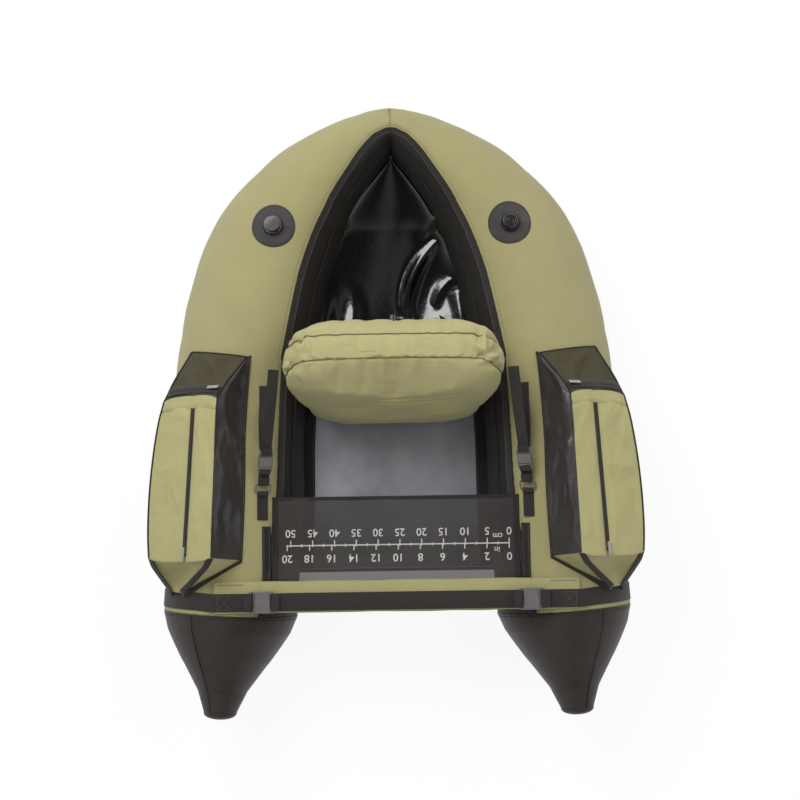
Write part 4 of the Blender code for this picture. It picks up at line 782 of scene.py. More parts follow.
# Folds pressed into the deck: where each starts and ends in plan, how far its middle bows to the right, its
# half width and its height.
DECK_RIDGES = (
    ((0.118, 0.490), (0.070, 0.425), 0.000, 0.012, 0.0055),
    ((0.112, 0.420), (0.030, 0.245), -0.022, 0.015, 0.0130),
    ((0.146, 0.330), (0.100, 0.262), -0.008, 0.012, 0.0040),
    ((0.168, 0.300), (0.186, 0.170), 0.000, 0.020, 0.0120),
    ((-0.100, 0.290), (-0.112, 0.170), 0.008, 0.020, 0.0075),
    ((-0.080, 0.215), (-0.030, 0.190), 0.010, 0.009, 0.0060),
    ((-0.012, 0.216), (0.050, 0.196), 0.014, 0.009, 0.0080),
    ((0.040, 0.262), (0.052, 0.200), 0.006, 0.008, 0.0050),
    ((0.110, 0.236), (0.122, 0.200), 0.004, 0.008, 0.0050),
)
# The deck falls away towards the left wall behind the backrest.
DECK_SLOPE_X = -0.142
DECK_SLOPE_WIDTH = 0.050
DECK_SLOPE_DEPTH = 0.014
# The deck's middle follows its edge's height, evened out over this many rows.
LEVEL_ROWS = 97
DECK_END = -0.004
BAND_START = 0.84
PANEL_THICKNESS = 0.0018


def ridge(points, start, end, bow, width, height):
    """Height of a fold that bows between two places in plan and fades out at both ends."""
    start, end = np.array(start), np.array(end)
    along = end - start
    length = np.hypot(*along)
    side = np.array([-along[1], along[0]]) / length * np.sign(-along[1])
    share = (points[..., :2] - start) @ along / length**2
    off = (points[..., :2] - start) @ side - bow * 4 * share * (1 - share)
    beyond = np.maximum(np.abs(share - 0.5) - 0.5, 0) * length
    fade = 0.25 + 0.75 * np.sin(np.pi * np.clip(share, 0, 1)) ** 0.7
    return height * fade * np.exp(-(np.hypot(off, beyond) / width) ** 1.6)


def make_seat():
    front, middle = station_at(SEAT_FRONT, PANEL_EDGE_ANGLE), station_at(0, PANEL_EDGE_ANGLE)
    across = np.linspace(-1, 1, 110)
    rows = np.linspace(middle, front, 90)
    points = floor_grid(rows, across, lambda share, across: SEAT_SAG * (1 - across**2))
    rumple = 0.0016 * ripple(points, 0.09, 40) + 0.0022 * crumple(points * (1, 0.6, 1), 0.16, 41)
    points[..., 2] += 0.0010 + (1 - np.abs(across) ** 8) * rumple
    mesh = surface("seat_cloth", points[:, ::-1])
    stands_for = ["seat_panel"]
    seat = piece("seat_cloth", mesh, seat_tarpaulin, "seat_tarpaulin", "hull", stands_for, PANEL_THICKNESS, 0)
    band = points[:, across > BAND_START] + (0, 0, 0.0016)
    for tag, mirror in SIDES:
        mesh = surface("seat_band", band[:, ::-1], mirror)
        piece(f"seat_side_band_{tag}", mesh, black_polyester, "black_cloth", wall=0.0006)
        path = band[:, 1] + (0, 0, 0.0004)
        stitches(f"seat_band_stitching_{tag}", path, (0, 0, 1), pale_thread, "black_cloth", mirror=mirror)


def make_deck():
    across = np.linspace(-1, 1, 130)
    rows = even_stations(210, STERN_STATION, station_at(DECK_END, PANEL_EDGE_ANGLE))
    share = np.linspace(0, 1, 210)[:, None]
    points = floor_grid(rows, across, lambda share, across: DECK_SAG * (1 - across**2) * np.sin(np.pi * share))
    level = np.pad(points[:, 0, 2], LEVEL_ROWS // 2, mode="edge")
    level = np.convolve(level, np.hanning(LEVEL_ROWS) / np.hanning(LEVEL_ROWS).sum(), "valid")
    points[..., 2] += (1 - np.abs(across) ** 6) * (level - points[:, 0, 2])[:, None]
    points[0, :, 1] += 0.014
    slant = points @ np.array([[1.0, 0.55, 0], [-0.35, 0.35, 0], [0, 0, 1]])
    folds = 0.0060 * ripple(slant * (1, 0.45, 1), 0.11, 43)
    folds = folds + 0.0034 * crumple(slant, 0.055, 44) * bend(0.62, 0.9, share)
    for fold in DECK_RIDGES:
        folds = folds + ridge(points, *fold)
    slope = np.clip((DECK_SLOPE_X - points[..., 0]) / DECK_SLOPE_WIDTH, 0, 1)
    folds = folds - DECK_SLOPE_DEPTH * slope * bend(0.31, 0.22, points[..., 1])
    points[..., 2] += 0.0012 + (1 - np.abs(across) ** 10) * bend(0, 0.10, share) * (folds - 0.0065)
    points[..., 2] -= 0.0030 * bend(0.985, 1.0, share)
    mesh = surface("deck_cloth", points[:, ::-1])
    stands_for = ["deck_panel"]
    deck = piece("deck_cloth", mesh, deck_tarpaulin, "deck_tarpaulin", "hull", stands_for, PANEL_THICKNESS, 0)
    low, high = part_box("seat_hem")
    path = [
        (x, (low.y + high.y) / 2, high.z - 0.004 - SEAT_SAG * (1 - (x / high.x) ** 2))
        for x in np.linspace(low.x, high.x, 60)
    ]
    mesh = cord_mesh("seat_front_hem", path, 0.004, 12)
    piece("seat_front_hem", mesh, black_polyester, "black_cloth", "hull", ["seat_hem"])


# Crossbar sleeve, belt and apron

def sleeve_base(x, y):
    x, y = np.broadcast_arrays(np.abs(np.asarray(x, float)), np.asarray(y, float))
    level = tube_top(SLEEVE_SHOULDER, BAR_Y + SLEEVE_WIDTH / 2)
    return np.where(x < SLEEVE_SHOULDER, level, tube_top(x, y)) + SLEEVE_LIFT


def sleeve_inside(x):
    share = np.clip((np.abs(x) - SLEEVE_SHOULDER) / (SLEEVE_FLAP_START - SLEEVE_SHOULDER), 0, 1)
    return SLEEVE_HEIGHT + (SLEEVE_FLAP_HEIGHT - SLEEVE_HEIGHT) * share


def make_sleeve():
    """The crossbar's cloth sleeve: full between the tubes, and sewn down flat on top of them."""
    x = np.linspace(-SLEEVE_HALF_LENGTH, SLEEVE_HALF_LENGTH, 240)[:, None]
    turn = np.radians(np.linspace(-163, 163, 49))[None, :]
    along, up = (np.sign(way) * np.abs(way) ** 0.62 for way in (np.cos(turn), np.sin(turn)))
    y = BAR_Y + along * (SLEEVE_WIDTH / 2 + 0.0004) + x * 0
    z = sleeve_base(x, y) + sleeve_inside(x) * (1 + up) / 2
    points = np.stack([x + 0 * y, y, z], -1)
    points[..., 2] += 0.0012 * ripple(points * (0.6, 1, 1), 0.05, 50) * bend(0, 0.4, up)
    points[..., 1] += 0.0010 * ripple(points, 0.06, 51) * np.abs(along) ** 3
    mesh = surface("sleeve", points)
    piece("crossbar_sleeve_cloth", mesh, tube_polyester, "tube_cloth", "hull", ["crossbar_sleeve"], 0.0009, 1)
    xs = np.linspace(0.345, SLEEVE_HALF_LENGTH - 0.004, 20)
    for tag, mirror in SIDES:
        for name, side in (("flap_rear", 1), ("flap_front", -1)):
            y = BAR_Y + side * (SLEEVE_WIDTH / 2 - 0.006)
            path = np.stack([xs, np.full(20, y), sleeve_base(xs, y) + sleeve_inside(xs) + 0.0008], -1)
            stitches(f"{name}_stitching_{tag}", path, (0, 0, 1), black_thread, "tube_cloth", mirror=mirror)


def apron_height(x, y):
    lift = 0.0015
    edge = tube_top(APRON_HALF_WIDTH, y) + lift
    share = np.clip(np.abs(x) / APRON_HALF_WIDTH, 0, 1)
    near = 1 - bend(0, APRON_RISE, y - APRON_FRONT)
    hung = edge - APRON_SAG * (1 - share**2)
    hung = hung + (np.maximum(sleeve_base(0, BAR_Y), edge) - hung) * near
    return np.where(np.abs(x) < APRON_HALF_WIDTH - APRON_HEM, hung, np.maximum(hung, tube_top(x, y) + lift))


def apron_skin(x, y):
    """The net's height with its slack waves, which the print follows."""
    x, y = np.broadcast_arrays(np.asarray(x, float), np.asarray(y, float))
    places = np.stack([x, y, 0 * x], -1)
    waves = ripple(places * (1, 0.6, 0), 0.035, 60) + 0.6 * crumple(places, 0.05, 61)
    return apron_height(x, y) + 0.0011 * bend(1.0, 0.8, np.abs(x) / APRON_HALF_WIDTH) * waves


def apron_patch(name, x, y, finish, slot, lift=0.0, stands_for=()):
    """A piece of the apron over a grid in plan: the net with its waves, or a smooth tape."""
    x, y = np.meshgrid(x, y)
    height = apron_skin(x, y) if finish is apron_net else apron_height(x, y)
    points = np.stack([x, y, height + lift], -1)
    return piece(name, surface(name, points), finish, slot, "apron", stands_for, 0.0012, 0)


def make_apron():
    inner = APRON_HALF_WIDTH - APRON_HEM
    outer = APRON_HALF_WIDTH + APRON_BAND_WIDTH
    band_end = APRON_FRONT + APRON_BAND_DEPTH
    x = np.linspace(-inner - 0.004, inner + 0.004, 150)
    y = np.linspace(APRON_FRONT - 0.0010, APRON_REAR - 0.004, 60)
    net = apron_patch("apron_net_sheet", x, y, apron_net, "mesh_cloth", stands_for=["apron_mesh"])
    x = np.linspace(-APRON_HALF_WIDTH, APRON_HALF_WIDTH, 120)
    y = np.linspace(APRON_REAR - APRON_HEM, APRON_REAR, 6)
    apron_patch("apron_rear_hem", x, y, black_polyester, "black_cloth", TAPE_LIFT, ["apron_hem"])
    for tag, mirror in SIDES:
        for name, low, high, end in (
            ("apron_inner_tape", inner, APRON_HALF_WIDTH + 0.004, APRON_REAR),
            ("apron_outer_tape", APRON_HALF_WIDTH + 0.008, outer, band_end),
        ):
            x = np.sort(mirror * np.linspace(low, high, 8))
            y = np.linspace(APRON_FRONT + 0.001, end, 50)
            apron_patch(f"{name}_{tag}", x, y, black_polyester, "black_cloth", TAPE_LIFT)
        y = np.linspace(APRON_FRONT + 0.004, band_end, 40)
        rows = {"tape_stitching": APRON_HALF_WIDTH + 0.011, "tape_edge_stitching": outer - 0.003}
        for name, at in rows.items():
            path = np.stack([np.full(40, at), y, apron_height(np.full(40, at), y) + 0.0016], -1)
            stitches(f"{name}_{tag}", path, (0, 0, 1), pale_thread, "black_cloth", "apron", mirror)


INCH = 0.0254
RULER_ZERO_X = 0.2585
RULER_LENGTH = 20 * INCH
RULER_LINE_Y = -0.3215
RULER_TEXT_SIZE = 0.0245
RULER_UNIT_SIZE = RULER_TEXT_SIZE * 0.78
PRINT_LIFT = 0.0016
PRINT_THINNING = 0.1


def on_apron(mesh, level=0.0):
    """Lays a print on the apron's cloth, level being the height that it was made at."""
    places = places_of(mesh)
    height = (places[:, 2] - level) * PRINT_THINNING
    places[:, 2] = apron_skin(places[:, 0], places[:, 1]) + PRINT_LIFT + height
    set_places(mesh, places)
    return mesh


def printed(text, x, y, size):
    """One number or word of the ruler, to be read from the seat."""
    curve = bpy.data.curves.new("print", "FONT")
    curve.body = text
    curve.size = size
    curve.align_x = curve.align_y = "CENTER"
    curve.offset = size * 0.012
    made = new_object("print", curve)
    place = Matrix.Translation((RULER_ZERO_X + x, RULER_LINE_Y + y, 0))
    made.matrix_world = place @ Matrix.Rotation(math.pi, 4, "Z")
    return plain(made)


def joined(meshes):
    work = bmesh.new()
    for mesh in meshes:
        work.from_mesh(mesh)
    made = bpy.data.meshes.new("joined")
    work.to_mesh(made)
    work.free()
    return made


def make_ruler():
    words = [
        printed(str(unit_step * step), -pitch * step, y, RULER_TEXT_SIZE)
        for unit_step, pitch, y in ((5, 0.05, 0.0285), (2, 2 * INCH, -0.0290))
        for step in range(11)
    ]
    words.append(printed("cm", -0.026, 0.0165, RULER_UNIT_SIZE))
    words.append(printed("in", -0.028, -0.0145, RULER_UNIT_SIZE))
    piece("ruler_numbers", on_apron(joined(words)), screen_print, "mesh_cloth", "apron")
    xs = np.linspace(RULER_ZERO_X - RULER_LENGTH, RULER_ZERO_X, 80)
    ys = np.linspace(RULER_LINE_Y - 0.0014, RULER_LINE_Y + 0.0014, 3)
    grid = np.stack([*np.meshgrid(xs, ys), np.zeros((3, 80))], -1)
    piece("ruler_line", on_apron(surface("ruler_line", grid)), screen_print, "mesh_cloth", "apron")
    flat = apron_height(0.0, RULER_LINE_Y)
    for name, spacing, length, shift in (
        ("ruler_cm_ticks", 0.05, 0.0135, 0.0050),
        ("ruler_half_ticks", 0.025, 0.0070, 0.0),
        ("ruler_inch_ticks", 2 * INCH, 0.0135, -0.0050),
    ):
        path = [(x, RULER_LINE_Y + shift, flat) for x in (RULER_ZERO_X, RULER_ZERO_X - RULER_LENGTH)]
        tick = bar_item(0.0026, length, 0.0003, 1.0)
        made = repeat(name, on_line(path, (0, 0, 1), spacing), tick, screen_print, "mesh_cloth", "apron")
        on_apron(made.data, flat)


# Webbing, buckles and the small fittings

# How far a web's edges are rounded, the belt's middle line, and the way that the right stay runs and lies.
WEB_EDGE = 0.0005
BELT_Y = BAR_Y - 0.0105
STAY_ALONG = Vector((-0.1244, 0.9281, 0.3509))
STAY_ACROSS = Vector((0.9425, 0, 0.3343))


def taken_over(node, finish, along=(1, 0, 0), across=(0, 1, 0), body="hull"):
    """A solid's own shape with soft edges and its weave laid out along it."""
    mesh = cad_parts[node].data.copy()
    work = bmesh.new()
    work.from_mesh(mesh)
    bmesh.ops.remove_doubles(work, verts=work.verts, dist=0.00002)
    bmesh.ops.dissolve_limit(work, angle_limit=math.radians(1), verts=work.verts, edges=work.edges)
    bmesh.ops.recalc_face_normals(work, faces=work.faces)
    for layer in list(work.loops.layers.uv):
        work.loops.layers.uv.remove(layer)
    layer = work.loops.layers.uv.new("laid_out")
    along, across = Vector(along).normalized(), Vector(across).normalized()
    for face in work.faces:
        for corner in face.loops:
            corner[layer].uv = (corner.vert.co.dot(along), corner.vert.co.dot(across))
    work.to_mesh(mesh)
    work.free()
    mesh.shade_smooth()
    made = new_object(f"{node}_dressed", mesh)
    mesh.materials.clear()
    mesh.materials.append(finish)
    edges = made.modifiers.new("edges", "BEVEL")
    edges.width = WEB_EDGE
    edges.segments = 2
    edges.limit_method = "ANGLE"
    edges.angle_limit = math.radians(40)
    edges.harden_normals = True
    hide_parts(node)
    if body:
        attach(made, body)
    return made


def box_stitches(name, low, high, height, mirror):
    """A sewn box with a cross in it, on a web that lies flat. height is the web's, by place across."""
    corners = [low, (high[0], low[1]), high, (low[0], high[1])]
    line = np.array([corners[k] for k in (0, 1, 2, 3, 0, 2, 1, 3)])
    path = []
    for start, end in zip(line, line[1:]):
        for x, y in start + (end - start) * np.linspace(0, 1, 10)[:, None]:
            path.append((x, y, height(x)))
    stitches(name, path, (0, 0, 1), pale_thread, "webbing", "hull", mirror, 0.005, 0.0009)


def make_webs():
    def belt_height(x):
        return float(sleeve_base(x, BELT_Y) + sleeve_inside(x)) + 0.0034

    taken_over("belt_web", webbing_weave)
    for tag, mirror in SIDES:
        along, across = (Vector((mirror * way.x, way.y, way.z)) for way in (STAY_ALONG, STAY_ACROSS))
        taken_over(f"belt_anchor_{tag}", webbing_weave)
        taken_over(f"stay_tab_{tag}", webbing_weave, (0, 1, 0), across)
        taken_over(f"stay_web_{tag}", webbing_weave, along, across)
        taken_over(f"rear_tab_{tag}", webbing_weave, (0, 1, 0), across)
        strap = taken_over(f"stay_strap_{tag}", webbing_weave, along, across, body=None)
        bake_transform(strap)
        low, high = (0.372, BELT_Y - 0.015), (0.402, BELT_Y + 0.015)
        box_stitches(f"belt_box_stitching_{tag}", low, high, belt_height, mirror)


def ring_of_ribs(name, node, count, low_share, high_share):
    """Upright grip ribs round a turned piece, which they ride with."""
    low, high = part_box(node)
    middle = (low + high) / 2
    radius = (high.x - low.x) / 2 - 0.0002
    turns = np.linspace(0, 2 * np.pi, count, endpoint=False)
    outs = np.stack([np.cos(turns), np.sin(turns), np.zeros(count)], -1)
    points = outs * radius + (middle.x, middle.y, low.z + (high.z - low.z) * (low_share + high_share) / 2)
    along = np.broadcast_to([0.0, 0.0, 1.0], outs.shape)
    rib = bar_item((high.z - low.z) * (high_share - low_share), 2 * np.pi * radius / count * 0.5, 0.0009, 0.7)
    repeat(name, (points, along, outs), rib, valve_plastic, "valve_plastic", node)


def make_valves():
    """Screw valves: each stands on a round welded patch that follows the tube."""
    for tag, _ in SIDES:
        low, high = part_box(f"valve_patch_{tag}")
        middle = (low + high) / 2
        rim = (high.x - low.x) / 2

        def on_tube(radius, turn, lift):
            x, y = middle.x + radius * np.cos(turn), middle.y + radius * np.sin(turn)
            return np.stack([x, y, tube_top(x, y) + lift], -1)

        radius = np.linspace(0.0156, rim, 14)[:, None]
        turn = np.linspace(0, 2 * np.pi, 73)[:-1][None, :]
        points = on_tube(radius, turn, 0.0008 + 0.0008 * bend(0.0, 0.002, rim - radius))
        mesh = surface("patch", points[::-1], 1, closed=True)
        stands_for = [f"valve_patch_{tag}"]
        piece(f"valve_patch_disc_{tag}", mesh, patch_cloth, "patch_rubber", "hull", stands_for, 0.0012)
        path = on_tube(rim - 0.004, np.linspace(0, 2 * np.pi, 90), 0.0017)
        stitches(f"patch_edge_{tag}", path, (0, 0, 1), black_thread, "patch_rubber")
        ring_of_ribs(f"collar_ribs_{tag}", f"valve_collar_{tag}", 22, 0.05, 0.5)
        ring_of_ribs(f"cap_ribs_{tag}", f"valve_cap_{tag}", 16, 0.57, 0.82)
        low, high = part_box(f"valve_cap_{tag}")
        middle = (low + high) / 2
        for k, radius in enumerate((0.0105, 0.0055)):
            turns = np.linspace(0, 2 * np.pi, 40)[:-1]
            ring = [(middle.x + radius * math.cos(t), middle.y + radius * math.sin(t), high.z) for t in turns]
            mesh = cord_mesh("cap_ring", ring, 0.0009, closed=True)
            piece(f"cap_ring_{k}_{tag}", mesh, valve_plastic, "valve_plastic", f"valve_cap_{tag}")


def dress_solids():
    """Solids whose own shape is right keep it and take a finish."""
    finishes = (
        # The buckles' grey finish is a painted highlight.
        (buckle_highlight_acetal, ("belt_latch", "belt_socket", "stay_latch", "stay_socket", "stay_ring")),
        (valve_plastic, ("valve_neck", "valve_collar", "valve_cap", "backrest_valve")),
        (bladder_film, ("bladder",)),
        (drawn_aluminium, ("crossbar_tube",)),
        (nickel_plate, ("mesh_slider", "zip_slider")),
    )
    for name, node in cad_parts.items():
        for finish, starts in finishes:
            if name.startswith(starts):
                node.data.materials.clear()
                node.data.materials.append(finish)


# Backrest

def cushion_place(across, through, up):
    """World place of a point in the cushion's own upright frame."""
    across, through, up = np.broadcast_arrays(across, through, up)
    y = HINGE.y + (through + HINGE_TO_MIDDLE) * math.cos(LEAN) - up * math.sin(LEAN)
    z = HINGE.z + (through + HINGE_TO_MIDDLE) * math.sin(LEAN) + up * math.cos(LEAN)
    return np.stack([across, y, z], -1)


def cushion_rim(s, t):
    """Outline of the cushion's panels from a square of -1 to 1: rounded corners and a narrower foot."""
    half = CUSHION_FOOT_HALF_WIDTH + (CUSHION_HALF_WIDTH - CUSHION_FOOT_HALF_WIDTH) * bend(-1.2, 0.6, t)
    across = s * half * (1 - 0.17 * np.abs(t) ** 5 * np.abs(s) ** 3)
    up = CUSHION_HEIGHT / 2 * (1 + t * (1 - 0.11 * np.abs(s) ** 4)) + 0.004
    return across, up


# How full the panels are from the foot to the top, in eleven even steps. The front is slack at its foot.
FRONT_FULLNESS = (0.0, 0.18, 0.42, 0.62, 0.77, 0.87, 0.93, 0.94, 0.88, 0.66, 0.0)
# Pinched folds at the cushion's upper corners: place in plan, direction of the run and height.
PINCHES = (
    (-0.207, 0.104, 0.95, 0.0120),
    (-0.178, 0.104, 2.00, 0.0070),
    (-0.240, 0.076, 0.50, 0.0090),
    (0.196, 0.098, 2.30, 0.0090),
    (0.212, 0.084, 0.45, 0.0110),
    (0.226, 0.082, 2.60, 0.0080),
    (0.200, 0.124, 1.60, 0.0070),
)
# Cuts of the cube it is made from, and the length of its simulation and the most that a point may move in it.
CUSHION_CUTS = 58
CUSHION_FRAMES = 20
CUSHION_CAP = 0.010


def cushion_shape(s, q, t):
    """A stuffed box: two crowned panels, joined by a gusset that is drawn in at its seams."""
    across, up = cushion_rim(s, t)
    sides = (1 - np.abs(s) ** 4) ** 0.62
    table = np.array([-0.2, *FRONT_FULLNESS, -0.4])[:, None]
    front = catmull(table, 1 + (t + 1) * 5)[..., 0]
    rear = (1 + 0.06 * t) * (1 - np.abs(t) ** np.where(t > 0, 10, 2.8)) ** 0.5
    crown = sides * np.clip(np.where(q < 0, front, rear), 0, None)
    depth = CUSHION_THICKNESS / 2 - GUSSET_WIDTH / 2
    on_panel = np.abs(q) > 0.999
    through = np.where(on_panel, np.sign(q) * (GUSSET_WIDTH / 2 + depth * crown), q * GUSSET_WIDTH / 2)
    bulge = np.where(on_panel, 0, 0.009 * (1 - q * q))
    norm = np.maximum(np.hypot(s**7, t**7), 0.001)
    across = across + bulge * s**7 / norm
    up = up + bulge * t**7 / norm
    return across, through, up


def cushion_cloth(raw):
    """Height of the cushion's wrinkles over its smooth shape, for places on the cube it is made from."""
    across, through, up = raw.T
    panel_edge_gap = (1 - np.maximum(np.abs(across), np.abs(up))) * CUSHION_HEIGHT / 2
    on_side = (np.abs(across) > 0.999) | (np.abs(up) > 0.999)
    on_front = through < -0.999
    to_seam = np.where(on_side, (1 - np.abs(through)) * GUSSET_WIDTH / 2, panel_edge_gap)
    places = cushion_place(*cushion_shape(across, through, up))
    x, _, z = places.T
    turn = np.arctan2(up, across)
    gathers = np.sin(46 * turn + 3 * np.sin(5 * turn)) * (0.5 + 0.5 * np.sin(3 * turn + 1) ** 2)
    corner = np.exp(-(((np.abs(across) - 0.88) / 0.13) ** 2)) * bend(0.45, 0.95, up)
    lift = 0.0020 * gathers * np.exp(-to_seam / 0.020) * (0.4 + 1.2 * corner)
    lift += 0.0024 * (crumple(places, 0.060, 71) - 0.7) * (0.3 + corner)
    for at_x, at_y, lean, height in PINCHES:
        spot = places[:, :2] - (at_x, at_y)
        run = spot @ (math.cos(lean), math.sin(lean))
        off = spot @ (-math.sin(lean), math.cos(lean))
        fold = np.exp(-((off / 0.006) ** 2)) - 0.7 * np.exp(-(((off - 0.011) / 0.007) ** 2))
        lift += height * fold * np.exp(-((run / 0.024) ** 2)) * bend(0.5, 0.9, up)
    low = on_front * bend(0.58, 0.22, up) * bend(0.80, 0.35, np.abs(across))
    lines = np.sin(2 * np.pi * (z / 0.017 + 0.7 * ripple(places * (1, 0, 0.4), 0.12, 72)))
    lift += 0.0032 * low * lines * bend(-0.2, 0.5, ripple(places * (0.5, 1, 1), 0.06, 74))
    drawn = np.sin(2 * np.pi * (x / 0.034 + 0.5 * np.sin(x / 0.06)))
    lift += 0.0011 * on_front * drawn * np.exp(-(1 - up) / 0.28) * bend(0.85, 0.6, np.abs(across))
    return lift - 0.0030 * np.exp(-((to_seam / 0.004) ** 2))


def on_cushion_seam(raw, side=0):
    """Where the gusset meets the panels, or the front one at side -1 or the rear one at side 1."""
    at_edge = np.maximum(np.abs(raw[:, 0]), np.abs(raw[:, 2])) > 0.9995
    return at_edge & (np.abs(raw[:, 1]) > 0.9995) & (raw[:, 1] * side >= 0)


def make_cushion():
    work = bmesh.new()
    bmesh.ops.create_cube(work, size=2)
    bmesh.ops.subdivide_edges(work, edges=work.edges, cuts=CUSHION_CUTS, use_grid_fill=True)
    raw = np.array([v.co for v in work.verts])
    across, through, up = cushion_shape(*raw.T)
    for vert, place in zip(work.verts, cushion_place(across, through, up)):
        vert.co = place
    mesh = bpy.data.meshes.new("cushion")
    work.to_mesh(mesh)
    work.free()
    corners = np.zeros(len(mesh.loops), int)
    mesh.loops.foreach_get("vertex_index", corners)
    laid = np.stack([across + through, up + through], -1)
    mesh.uv_layers.new(name="laid_out").data.foreach_set("uv", laid[corners].ravel())
    mesh.attributes.new("cube_place", "FLOAT_VECTOR", "POINT").data.foreach_set("vector", raw.ravel())
    fill_out(mesh, on_cushion_seam(raw))
    coarse = new_object("coarse_cushion", mesh)
    smooth = coarse.modifiers.new("smooth", "SUBSURF")
    smooth.levels = smooth.render_levels = 1
    mesh = plain(coarse)
    mesh.shade_smooth()
    places, normals = places_of(mesh), places_of(mesh, "normal")
    raw = np.zeros(len(mesh.vertices) * 3)
    mesh.attributes["cube_place"].data.foreach_get("vector", raw)
    raw = raw.reshape(-1, 3)
    mesh.attributes.remove(mesh.attributes["cube_place"])
    places += normals * cushion_cloth(raw)[:, None]
    set_places(mesh, places)
    stands_for = ["backrest_cushion"]
    # The cushion's lighter khaki is painted light.
    cushion = piece("backrest_pad", mesh, lit_cushion_polyester, "cushion_cloth", "backrest", stands_for)
    for name, side in (("front", -1), ("rear", 1)):
        keep = np.flatnonzero(on_cushion_seam(raw, side))
        order = keep[np.argsort(np.arctan2(raw[keep, 2], raw[keep, 0]))]
        cord = cord_mesh("piping", places[order] + normals[order] * 0.0012, 0.0013, closed=True)
        # The piping's darker khaki is painted shade along the seams.
        piece(f"cushion_{name}_piping", cord, seam_shade_polyester, "cushion_cloth", "backrest")


def fill_out(mesh, seam):
    """Pressure swells the cushion between its seams, which stay where they are."""
    before = places_of(mesh)
    body = new_object("filling", mesh)
    body.vertex_groups.new(name="seams").add(np.flatnonzero(seam).tolist(), 1.0, "REPLACE")
    cloth = body.modifiers.new("cloth", "CLOTH")
    settings = cloth.settings
    settings.quality = 5
    settings.mass = 0.3
    settings.tension_stiffness = 15
    settings.compression_stiffness = 15
    settings.bending_stiffness = 0.5
    settings.use_pressure = True
    settings.uniform_pressure_force = 4
    settings.shrink_min = -0.05
    settings.vertex_group_mass = "seams"
    settings.effector_weights.gravity = 0
    cloth.collision_settings.use_collision = False
    scene = bpy.context.scene
    for frame_number in range(1, CUSHION_FRAMES + 1):
        scene.frame_set(frame_number)
    after = places_of(body.evaluated_get(bpy.context.evaluated_depsgraph_get()).data)
    bpy.data.objects.remove(body)
    scene.frame_set(1)
    step = after - before
    size = np.linalg.norm(step, axis=1, keepdims=True)
    set_places(mesh, before + step * np.minimum(1, CUSHION_CAP / np.maximum(size, 1e-9)))


# Pockets

@functools.cache
def pocket_end_stations():
    return [stations(np.array(station_at(at)))[0] for at in (POCKET_CREST, POCKET_FRONT)]


def top_corners(y):
    """The pocket's inner and outer upper edges and its outer side's bend, at a place along the boat.

    The last value is how much further out the outer edge swells there."""
    rear, front = pocket_end_stations()
    share = (POCKET_CREST - y) / (POCKET_CREST - POCKET_FRONT)
    middle = rear + (front - rear) * share
    level = middle[2] + TUBE_RADIUS
    at_crest, at_front, at_side = POCKET_BULGES
    bulge = at_crest + (at_front - at_crest) * share
    inner = np.array([middle[0] + POCKET_INSET, y, level + POCKET_RISE])
    outer = np.array([middle[0] + TUBE_RADIUS + bulge, y, level + POCKET_OUTER_RISE])
    side = np.array([middle[0] + TUBE_RADIUS + at_side, y, level + POCKET_SIDE_RISE])
    return inner, outer, side, POCKET_SWELL * 4 * share * (1 - share)


def foot_point(y, angle, gap):
    point = tube(station_at(y), angle, gap)
    point[1] = y
    return point


def pocket_row(s, shares):
    """Points across the pocket. s is -1 at its rear end, 0 at its crest, 1 at its front edge, 2 at its toe.

    A share runs from 0 to 1 across the top, on to 2 down the outer side, and to -1 down the inner side."""
    shares = np.asarray(shares, float)
    y = float(np.interp(s, (-1, 0, 1, 2), (POCKET_REAR, POCKET_CREST, POCKET_FRONT, POCKET_TIP)))
    low, high = POCKET_FOOT_ANGLES
    run = max(-s, 0.0, s - 1)
    ends = (POCKET_REAR_ANGLE, high) if s < 0 else POCKET_TIP_ANGLES
    end_y, end_gap = (POCKET_REAR, 0.0034) if s < 0 else (POCKET_TIP, 0.0055)
    inner, outer, side, swell = top_corners(float(np.clip(y, POCKET_FRONT, POCKET_CREST)))
    part = np.clip(shares, 0, 1)[:, None]
    top = inner + (outer - inner) * part
    top[:, 0] += swell * np.maximum(0, 2 * part[:, 0] - 1)
    if run:
        spots = ends[1] + (ends[0] - ends[1]) * (0.05 + 0.85 * np.append(part[:, 0], 1.06))
        there = tube(station_at(end_y), spots, end_gap + POCKET_LIP)
        top = top + (there[:-1] - top) * run
        side = side + (there[-1] - side) * run
        low, high = low + (ends[0] - low) * run, high + (ends[1] - high) * run
    gap = 0.0020 + 0.004 * min(run * 2, 1) * (s > 1)
    inner_foot, outer_foot = foot_point(y, high, gap), foot_point(y, low, gap)
    top = top + (inner_foot - top) * np.clip(-shares, 0, 1)[:, None]
    top = top + (side - top) * np.clip(2 * shares - 2, 0, 1)[:, None]
    top = top + (outer_foot - top) * np.clip(2 * shares - 3, 0, 1)[:, None]
    drop = np.clip(np.maximum(-shares, shares - 1), 0, 1)
    corner = np.abs(2 * part[:, 0] - 1) ** 4 * (1 - drop)
    at_crest = math.exp(-((s / (0.10 if s > 0 else 0.25)) ** 2))
    at_front = math.exp(-(((s - 1) / 0.10) ** 2))
    top[:, 1] += corner * (0.008 * at_front - 0.009 * at_crest)
    top[:, 2] -= corner * 0.005 * (at_crest + at_front)
    return top


def pocket_line(s_values, shares):
    """Points at places along and across the pocket, either of which can be one number."""
    pairs = np.broadcast(s_values, shares)
    return np.array([pocket_row(s, [share])[0] for s, share in pairs])


def pocket_grid(s_values, shares):
    points = np.array([pocket_row(s, shares) for s in s_values])
    normal = np.cross(np.gradient(points, axis=0), np.gradient(points, axis=1))
    normal /= np.maximum(np.linalg.norm(normal, axis=2, keepdims=True), 1e-9)
    return points, normal


